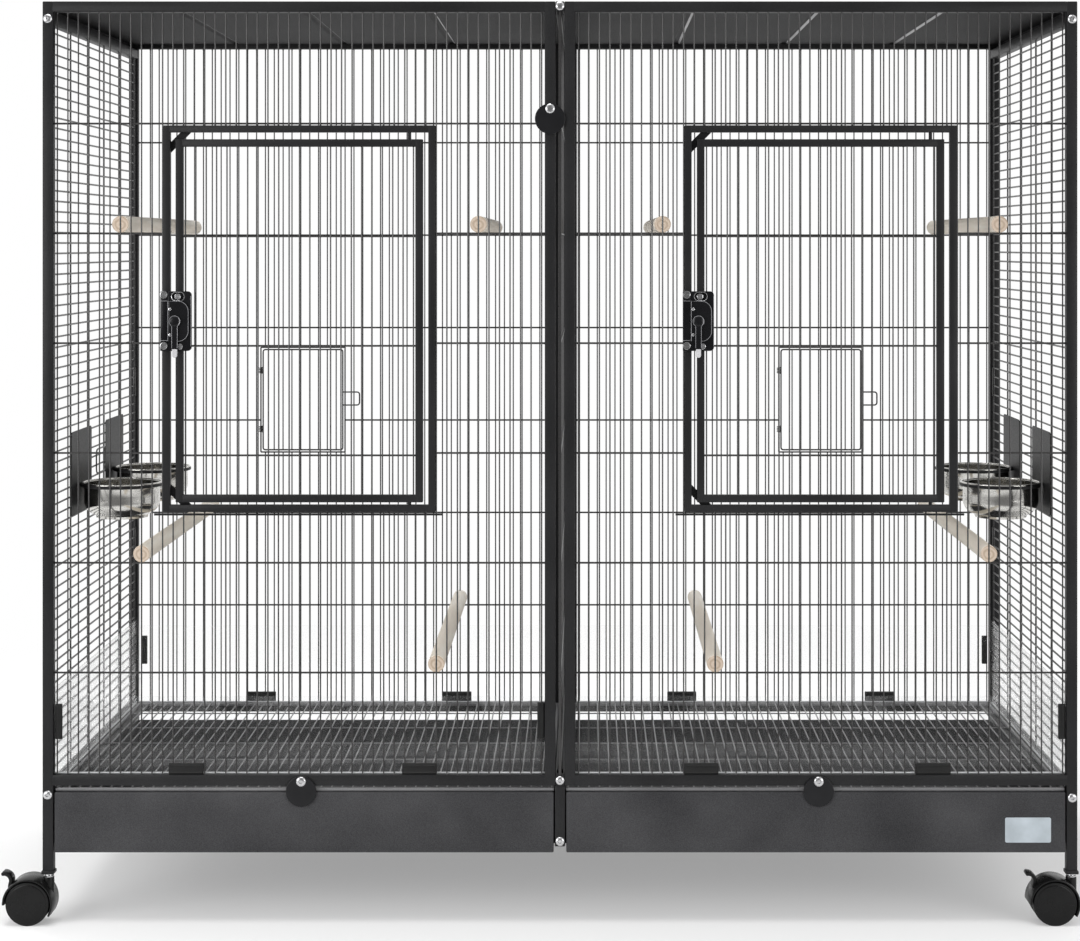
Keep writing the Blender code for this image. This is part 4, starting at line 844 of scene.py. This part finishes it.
# Grates, drawers and guards
def grate(side, word):
    inner = 0.010
    outer = CAGE_OUTER - TUBE - 0.0023
    low_x, high_x = sorted((side * inner, side * outer))
    front = -PLANE_Y - 0.0025
    back = FRAME_FACE - TUBE - 0.0053
    bottom = GRATE_BOTTOM
    top = bottom + GRATE_BAR
    bm = bmesh.new()
    for x in (low_x, high_x - GRATE_BAR):
        bevelled_box(bm, (x, front, bottom), (x + GRATE_BAR, back, top), 0.0008)
    for y in (front, back - GRATE_BAR):
        low = (low_x + GRATE_BAR - 0.0008, y, bottom)
        bevelled_box(bm, low, (high_x - GRATE_BAR + 0.0008, y + GRATE_BAR, top), 0.0008)
    run_z = top - 0.0013
    for index in range(-WIRES_EACH_SIDE, WIRES_EACH_SIDE + 1):
        x = side * CAGE_CENTRE + index * WIRE_PITCH
        wire(bm, (x, front + GRATE_BAR, run_z), (x, back - GRATE_BAR, run_z))
    for index in range(5):
        y = front + (back - front) * (index + 0.7) / 5.35
        z = run_z - 2 * LAYER
        wire(bm, (low_x + GRATE_BAR, y, z), (high_x - GRATE_BAR, y, z))
    piece(word + "grate_wires", bm, GRATE_PAINT, "root", [word + "grate"])


def drawer(side, word):
    """The drawer's front with soft edges and the thin tray folded behind it."""
    low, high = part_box(word + "drawer")
    front_y = low[1]
    back_y = front_y + 0.016
    tray_low, tray_high = sorted((side * 0.012, side * (CAGE_OUTER - TUBE - 0.0045)))
    tray_back = high[1]
    bottom = low[2] + 0.0133
    top = bottom + 0.063
    wall = 0.0012
    name = word + "drawer"
    bm = bmesh.new()
    bevelled_box(bm, low, (high[0], back_y, high[2]), 0.0022, 3)
    piece(name + "_front", bm, DRAWER_PAINT, name, [name])
    bm = bmesh.new()
    near = back_y - 0.001
    sheets = (
        (tray_low, near, tray_high, tray_back, bottom + wall),
        (tray_low, near, tray_low + wall, tray_back, top),
        (tray_high - wall, near, tray_high, tray_back, top),
        (tray_low, tray_back - wall, tray_high, tray_back, top),
        (tray_low, near, tray_high, back_y + wall, top),
    )
    for x, y, far_x, far_y, height in sheets:
        bevelled_box(bm, (x, y, bottom), (far_x, far_y, height), 0.0003, 1)
    piece(name + "_tray", bm, DRAWER_PAINT, name)


def guard(name):
    """A clear sheet with its edges eased, and a pale strip along its bottom as a painted highlight.
    """
    low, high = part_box(name)
    bm = bmesh.new()
    bevelled_box(bm, low, high, 0.0005)
    # The side sheets take the greyer copy of the acrylic, which paints in their veil of reflection.
    material = VEILED_SIDE_SHEET if "side" in name else CLEAR
    piece(name + "_sheet", bm, material, "root", [name])
    bm = bmesh.new()
    # The pale strip stands in for the highlight on the sheet's bottom edge.
    grow = 0.0001
    low = (low[0] - grow, low[1] - grow, low[2])
    bevelled_box(bm, low, (high[0] + grow, high[1] + grow, low[2] + 0.0022), 0.0003, 1)
    piece(name + "_edge", bm, SHEET_EDGE_HIGHLIGHT)


# Perches, bowls and their holders
def perch(name):
    """A round bar whose ends are slotted to slip over a wire."""
    low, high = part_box(name)
    radius = (high[2] - low[2]) / 2
    x = (low[0] + high[0]) / 2
    z = (low[2] + high[2]) / 2
    end = high[1]
    slot_start = end - 0.010
    half_slot = 0.0013
    lean = math.degrees(math.asin(half_slot / radius))
    bm = bmesh.new()
    cone(bm, (0.0, -slot_start, 0.0), (0.0, slot_start, 0.0), radius, radius, 40)
    for face in (-1, 1):
        near, far = sorted((face * (slot_start - 0.0008), face * end))
        for start in (90.0 + lean, 270.0 + lean):
            outline = arc((0.0, 0.0), radius, start, start + 180.0 - 2 * lean, 20)
            plate(bm, outline, near, far, edge=0.0007)
    bmesh.ops.translate(bm, vec=(x, 0.0, z), verts=bm.verts)
    bar = piece(name + "_bar", bm, WOOD, "root", [name], origin=(x, 0.0, z))
    bar.data.materials.append(END_GRAIN)
    for polygon in bar.data.polygons:
        if abs(polygon.normal.y) > 0.9:
            polygon.material_index = 1


def bowl(word):
    """A spun steel cup with a rolled rim and a rounded foot."""
    name = word + "bowl"
    low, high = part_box(name)
    centre = ((low[0] + high[0]) / 2, (low[1] + high[1]) / 2, high[2])
    body = 0.0664
    wall = 0.0012
    foot = -(high[2] - low[2])
    profile = [(0.0, foot + 0.0020), (0.030, foot + 0.0020), (0.036, foot + wall)]
    profile += arc((0.0405, foot + 0.0300), 0.0246, -80.0, -8.0, 9)
    profile += [(body - wall, foot + 0.034), (body - wall, -0.0030)]
    profile += arc((0.0684, -0.0016), 0.0016, 200.0, 90.0, 5)
    profile += arc((0.0692, -0.0018), 0.0018, 80.0, -90.0, 7)
    profile += [(body + 0.0006, -0.0033), (body, -0.0042), (body, foot + 0.034)]
    profile += arc((0.0410, foot + 0.0304), 0.0256, -6.0, -72.0, 9)
    profile += [(0.0460, foot + 0.0040), (0.0450, foot), (0.0420, foot), (0.0395, foot + 0.0008)]
    profile += [(0.0, foot + 0.0008)]
    bm = bmesh.new()
    lathe(bm, profile, centre, steps=96)
    piece(name + "_cup", bm, BOWL_STEEL, name, [name], origin=centre)


def bowl_holder(side, word):
    """A flat plate against the side mesh and the round hoop that the bowl drops into."""
    name = word + "bowl_holder"
    low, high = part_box(name)
    cup_low, cup_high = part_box(word + "bowl")
    centre_x = (cup_low[0] + cup_high[0]) / 2
    y = (low[1] + high[1]) / 2
    wall = high[0] if side > 0 else low[0]
    bm = bmesh.new()
    outline = rounded(low[1], low[2], high[1], high[2], [0.008] * 4)
    near, far = sorted((wall, wall - side * 0.0015))
    plate(bm, outline, near, far, edge=0.0005, plane="YZ")
    top = cup_high[2] - 0.0027
    hoop = [(0.0668, -0.0008), (0.0676, 0.0), (0.0716, 0.0), (0.0724, -0.0008), (0.0724, -0.0042)]
    hoop += [(0.0716, -0.0050), (0.0676, -0.0050), (0.0668, -0.0042), (0.0668, -0.0008)]
    lathe(bm, hoop, (centre_x, y, top), steps=96)
    piece(name + "_frame", bm, FRAME_PAINT, replaced=[name])


# Casters
def caster(side, face, word):
    """Twin wheels with hubs, the swivelling hood, the chrome swivel above it and the brake tab."""
    trail = -1.0 if face < 0 else 1.0
    leg_x = side * (CAGE_OUTER - TUBE / 2)
    leg_y = face * PLANE_Y
    axle = Vector((leg_x + trail * CASTER_TRAIL, leg_y, WHEEL_RADIUS))
    half = CASTER_WIDTH / 2
    swivel = word + "caster"

    def turn_to(outline):
        """Points set out from the axle, turned to this caster's trail."""
        return [(axle.x - trail * x, axle.z + z) for x, z in outline]

    bm = bmesh.new()
    inner = HOOD_RADIUS - 0.0035
    band = arc((0.0, 0.0), HOOD_RADIUS, -30.0, 182.0, 44)
    band += arc((0.0, 0.0), inner, 182.0, -30.0, 44)
    plate(bm, turn_to(band), leg_y - half, leg_y + half, edge=0.0014)
    web = arc((0.0, 0.0), inner + 0.001, -30.0, 182.0, 44)
    web += arc((0.0, 0.0), 0.010, 182.0, 330.0, 10)
    plate(bm, turn_to(web), leg_y - 0.006, leg_y + 0.006)
    neck = []
    for height, radius in ((None, 0.0090), (0.0764, 0.0090), (0.0777, 0.0084), (0.0780, 0.0074)):
        ring = []
        for step in range(32):
            angle = 2 * math.pi * step / 32
            x = leg_x + radius * math.cos(angle)
            z = height
            if height is None:
                z = axle.z + math.sqrt((HOOD_RADIUS - 0.0016) ** 2 - (x - axle.x) ** 2)
            ring.append(bm.verts.new((x, leg_y + radius * math.sin(angle), z)))
        neck.append(ring)
    for lower, upper in zip(neck, neck[1:]):
        bridge(bm, lower, upper)
    bm.faces.new(neck[-1])
    bm.faces.new(list(reversed(neck[0])))
    hood = swivel + "_shell"
    piece(hood, bm, CASTER_BLACK, swivel, [swivel + "_hood"], origin=axle)

    bm = bmesh.new()
    rise = [(0.0, 0.0772), (0.0080, 0.0772), (0.0086, 0.0776), (0.0086, 0.0792), (0.0080, 0.0797)]
    rise += [(0.0066, 0.0798), (0.0064, 0.0802), (0.0064, 0.0826), (0.0, 0.0826)]
    lathe(bm, rise, (leg_x, leg_y, 0.0), steps=40)
    piece(swivel + "_washer", bm, BOLT_STEEL, swivel)

    wheels = swivel + "_wheels"
    bm = bmesh.new()
    for way in (-1, 1):
        tread = [(0.0326, 0.0246), (0.0345, 0.0248), (0.0357, 0.0244), (0.0363, 0.0236)]
        tread += [(WHEEL_RADIUS, 0.0226), (WHEEL_RADIUS, 0.0102)]
        tread += [(0.0362, 0.0086), (0.0350, 0.0076), (0.0340, 0.0073), (0.0326, 0.0073)]
        tread.append(tread[0])
        lathe(bm, [(radius, way * height) for radius, height in tread], axle, "-Y", 72)
    piece(wheels + "_tyres", bm, TYRE_BLACK, wheels, [wheels], origin=axle)
    bm = bmesh.new()
    for way in (-1, 1):
        hub = [(0.0, 0.0257), (0.0120, 0.0256), (0.0220, 0.0254), (0.0300, 0.0250)]
        hub += [(0.0322, 0.0248), (0.0328, 0.0244), (0.0328, 0.0075), (0.0, 0.0075)]
        lathe(bm, [(radius, way * height) for radius, height in hub], axle, "-Y")
    cone(bm, axle - Vector((0, 0.0080, 0)), axle + Vector((0, 0.0080, 0)), 0.004, 0.004, 20)
    piece(wheels + "_hubs", bm, CASTER_BLACK, wheels, origin=axle)

    bend = (-0.0428, 0.0350)
    hook = arc(bend, 0.0152, -32.0, 86.0, 16)
    hook += arc((bend[0] - 0.0008, bend[1] + 0.0117), 0.0034, 100.0, 262.0, 12)
    hook += arc(bend, 0.0088, 84.0, -30.0, 14)
    hook += [(-0.0360, 0.0240), (-0.0335, 0.0225)]
    bm = bmesh.new()
    plate(bm, turn_to(hook), leg_y - 0.010, leg_y + 0.010, edge=0.0012)
    for groove in range(3):
        angle = math.radians(66.0 + 13.0 * groove)
        rib = (bend[0] + 0.0152 * math.cos(angle), bend[1] + 0.0152 * math.sin(angle))
        x, z = turn_to([rib])[0]
        cone(bm, (x, leg_y - 0.008, z), (x, leg_y + 0.008, z), 0.0006, 0.0006, 8)
    brake = swivel + "_brake"
    piece(brake + "_tab", bm, CASTER_BLACK, brake, [brake])


# Bolts, clips and the blank plate
def frame_bolts():
    bm = bmesh.new()
    for x, z in BOLT_PLACES:
        button_head(bm, (x, -FRAME_FACE, z), "-Y")
    for x, z in PIVOT_PLACES:
        button_head(bm, (x, DISC_FRONT_Y - 0.0003, z), "-Y", 0.0085, 0.0030)
        cone(bm, (x, DISC_FRONT_Y - 0.0006, z), (x, 0.001 - FRAME_FACE, z), 0.0039, 0.0039, 20)
    for side, outward in ((-1, "-X"), (1, "+X")):
        x = side * CAGE_OUTER
        for end in (-1, 1):
            button_head(bm, (x, end * PLANE_Y, 0.140), outward, 0.0036, 0.0018)
            for z in (0.216, 1.517):
                button_head(bm, (x, end * (PLANE_Y - TUBE), z), outward, 0.0052, 0.0026)
        for z in (0.216, 1.517):
            button_head(bm, (x - side * TUBE / 2, FRAME_FACE, z), "+Y", 0.0060, 0.0028)
    piece("frame_bolts", bm, BOLT_STEEL)


def clip(bm, centre, width, height):
    """A snap clip round a few wires: a rounded block with a shallow groove along it."""
    half = Vector((width / 2, CLIP_DEPTH / 2, height / 2))
    centre = Vector(centre)
    bevelled_box(bm, centre - half, centre + half, 0.0016, 3)
    groove = 0.0012
    out = CLIP_DEPTH / 2 + 0.0006
    for way in (-1, 1):
        if width > height:
            spot = centre + Vector((0, 0, way * height * 0.30))
            reach = Vector((width / 2 - 0.002, out, groove))
        else:
            spot = centre + Vector((way * width * 0.25, 0, 0))
            reach = Vector((groove, out, height / 2 - 0.002))
        bevelled_box(bm, spot - reach, spot + reach, 0.0005, 1)


def sheet_clips():
    """The black clips that hold the clear sheets to the mesh."""
    bm = bmesh.new()
    rows = (
        (-1, 0.258, 0.058, 0.020, (-0.628, -0.236, 0.237, 0.627)),
        (-1, 0.3375, 0.0115, 0.059, (-0.8415, 0.8425)),
        (-1, 0.340, 0.0125, 0.060, (-0.0319,)),
        (1, 0.2355, 0.058, 0.020, (-0.6045, -0.214, 0.235, 0.6295)),
        (1, 0.329, 0.0110, 0.056, (-0.838, 0.8395)),
    )
    for face, z, width, height, places in rows:
        for x in places:
            clip(bm, (x, face * CLIP_Y, z), width, height)
    piece("sheet_clips", bm, CLIP_BLACK)


def mesh_brackets():
    """Brackets on the back bar of each side mesh, and the wire loop beside the left back bowl."""
    bm = bmesh.new()
    for side in (-1, 1):
        x = side * (SIDE_MESH_X - 0.0006)
        for z in (0.547, 0.865):
            low = (x - 0.0022, 0.3395, z - 0.029)
            bevelled_box(bm, low, (x + 0.0022, 0.3487, z + 0.029), 0.0008)
    loop = rounded(-0.020, 0.719, 0.055, 0.763, [0.010] * 4, 5)
    sweep(bm, [(0.0030 - SIDE_MESH_X, y, z) for y, z in loop], 0.0014, closed=True)
    piece("mesh_brackets", bm, WIRE_PAINT)


def blank_plate():
    bm = bmesh.new()
    front = -FRAME_FACE
    outline = rounded(0.746, 0.136, 0.823, 0.178, [0.003] * 4)
    plate(bm, outline, front - 0.0006, front + 0.0004, edge=0.0002)
    piece("right_drawer_plate", bm, PLATE_WHITE, "right_drawer")


def roof_rib_highlights(side, word):
    """Painted highlights: a pale strip on the inner flank of each pressed rib of a roof."""
    bm = bmesh.new()
    for index in range(3):
        x = side * (0.866 - 0.2144 * (index + 1))
        outline = [(x + 0.0069, 1.5371), (x + 0.0036, 1.5399)]
        outline += [(x + 0.0034, 1.5397), (x + 0.0067, 1.5369)]
        plate(bm, outline, -0.335, 0.335, edge=0.00005)
    piece(word + "roof_rib_highlights", bm, PAINTED_RIB_HIGHLIGHT)


# Floor, light and camera
def floor_material():
    """A pale floor that keeps the shadow near the cage and fades into the white world round it."""
    material, shader = new_material("floor", (0.90, 0.90, 0.90), 0.75, gloss=0.1)
    length = node(material, "VectorMath", operation="LENGTH")
    join(coordinates(material), length.inputs[0])
    reach = {"From Min": FLOOR_FADE_START, "From Max": FLOOR_FADE_END}
    fade = node(material, "MapRange", interpolation_type="SMOOTHSTEP", **reach)
    join(length.outputs["Value"], fade.inputs["Value"])
    path = node(material, "LightPath").outputs
    straight = calculate(material, "MAXIMUM", path["Is Camera Ray"], path["Is Transmission Ray"])
    seen = calculate(material, "MAXIMUM", straight, path["Is Glossy Ray"])
    share = calculate(material, "MULTIPLY", seen, FLOOR_GLOW)
    white = node(material, "Emission", Strength=1.0).outputs["Emission"]
    lit = mixed(material, share, shader.outputs["BSDF"], white)
    clear = node(material, "BsdfTransparent").outputs["BSDF"]
    shown = mixed(material, fade.outputs["Result"], lit, clear)
    join(shown, material.node_tree.nodes["Material Output"].inputs["Surface"])
    return material


def floor():
    bm = bmesh.new()
    bmesh.ops.create_circle(bm, cap_ends=True, segments=96, radius=FLOOR_FADE_END + 0.1)
    mesh = bpy.data.meshes.new("floor")
    bm.to_mesh(mesh)
    bm.free()
    mesh.materials.append(floor_material())
    add_object("floor", mesh)


def white_world():
    """White to the camera, darker behind it in reflections, and a plain soft light to the rest."""
    world = bpy.data.worlds.new("studio")
    bpy.context.scene.world = world
    world.use_nodes = True

    def shade(strength):
        made = node(world, "Background", Color=(1.0, 1.0, 1.0, 1.0), Strength=strength)
        return made.outputs["Background"]

    path = node(world, "LightPath").outputs
    straight = calculate(world, "MAXIMUM", path["Is Camera Ray"], path["Is Transmission Ray"])
    axes = node(world, "SeparateXYZ")
    join(node(world, "TexCoord").outputs["Generated"], axes.inputs["Vector"])
    room = node(world, "MapRange", **{"From Min": ROOM_DARK_Y, "From Max": ROOM_WHITE_Y})
    join(axes.outputs["Y"], room.inputs["Value"])
    reflected = mixed(world, room.outputs["Result"], shade(ROOM_STRENGTH), shade(1.0))
    soft = mixed(world, path["Is Glossy Ray"], shade(WORLD_STRENGTH), reflected)
    seen = mixed(world, straight, soft, shade(1.0))
    join(seen, world.node_tree.nodes["World Output"].inputs["Surface"])


def soft_box(name, place, aim, size, power):
    data = bpy.data.lights.new(name, "AREA")
    data.shape = "RECTANGLE"
    data.size = size[0]
    data.size_y = size[1]
    data.energy = power
    lamp = add_object(name, data)
    lamp.location = place
    lamp.rotation_euler = (Vector(aim) - Vector(place)).to_track_quat("-Z", "Y").to_euler()


def camera():
    data = bpy.data.cameras.new("camera")
    data.sensor_fit = "HORIZONTAL"
    data.sensor_width = 36.0
    data.lens = 75.4
    data.shift_x = -0.0426
    data.shift_y = -0.2093
    obj = add_object("camera", data)
    obj.location = (0.0437, -4.1585, 1.1384)
    obj.rotation_euler = (math.radians(90.0), 0.0, 0.0)
    bpy.context.scene.camera = obj


for side, word in ((-1, "left_"), (1, "right_")):
    front_panel(side, word)
    back_panel(side, word)
    side_panel(side, word)
    door(side, word)
    hatch(side, word)
    lock(side, word)
    disc(word + "disc_latch", side * (CAGE_CENTRE - 0.004), 0.239)
    grate(side, word)
    drawer(side, word)
    for name in ("front_guard", "back_guard", "side_guard"):
        guard(word + name)
    for face, place in ((-1, "front_"), (1, "back_")):
        bowl(word + place)
        bowl_holder(side, word + place)
        caster(side, face, word + place)
    for place in ("top_outer", "top_inner", "middle", "low"):
        perch(word + "perch_" + place)
    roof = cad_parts[word + "roof"]
    roof.data.materials.clear()
    roof.data.materials.append(ROOF_PAINT)
    roof_rib_highlights(side, word)
centre()
disc("divider_latch", -0.0165, 1.366)
frame_bolts()
sheet_clips()
mesh_brackets()
blank_plate()

floor()
white_world()
soft_box("key_light", (-2.8, -2.6, 1.3), (0.0, 0.0, 0.2), (2.2, 1.6), 56.0)
soft_box("fill_light", (2.9, -2.8, 1.1), (0.0, 0.0, 0.2), (2.2, 1.4), 38.0)
soft_box("top_light", (-0.5, 0.0, 4.2), (0.0, 0.0, 0.0), (3.0, 2.4), 140.0)
camera()
bpy.context.scene.view_settings.view_transform = "Standard"
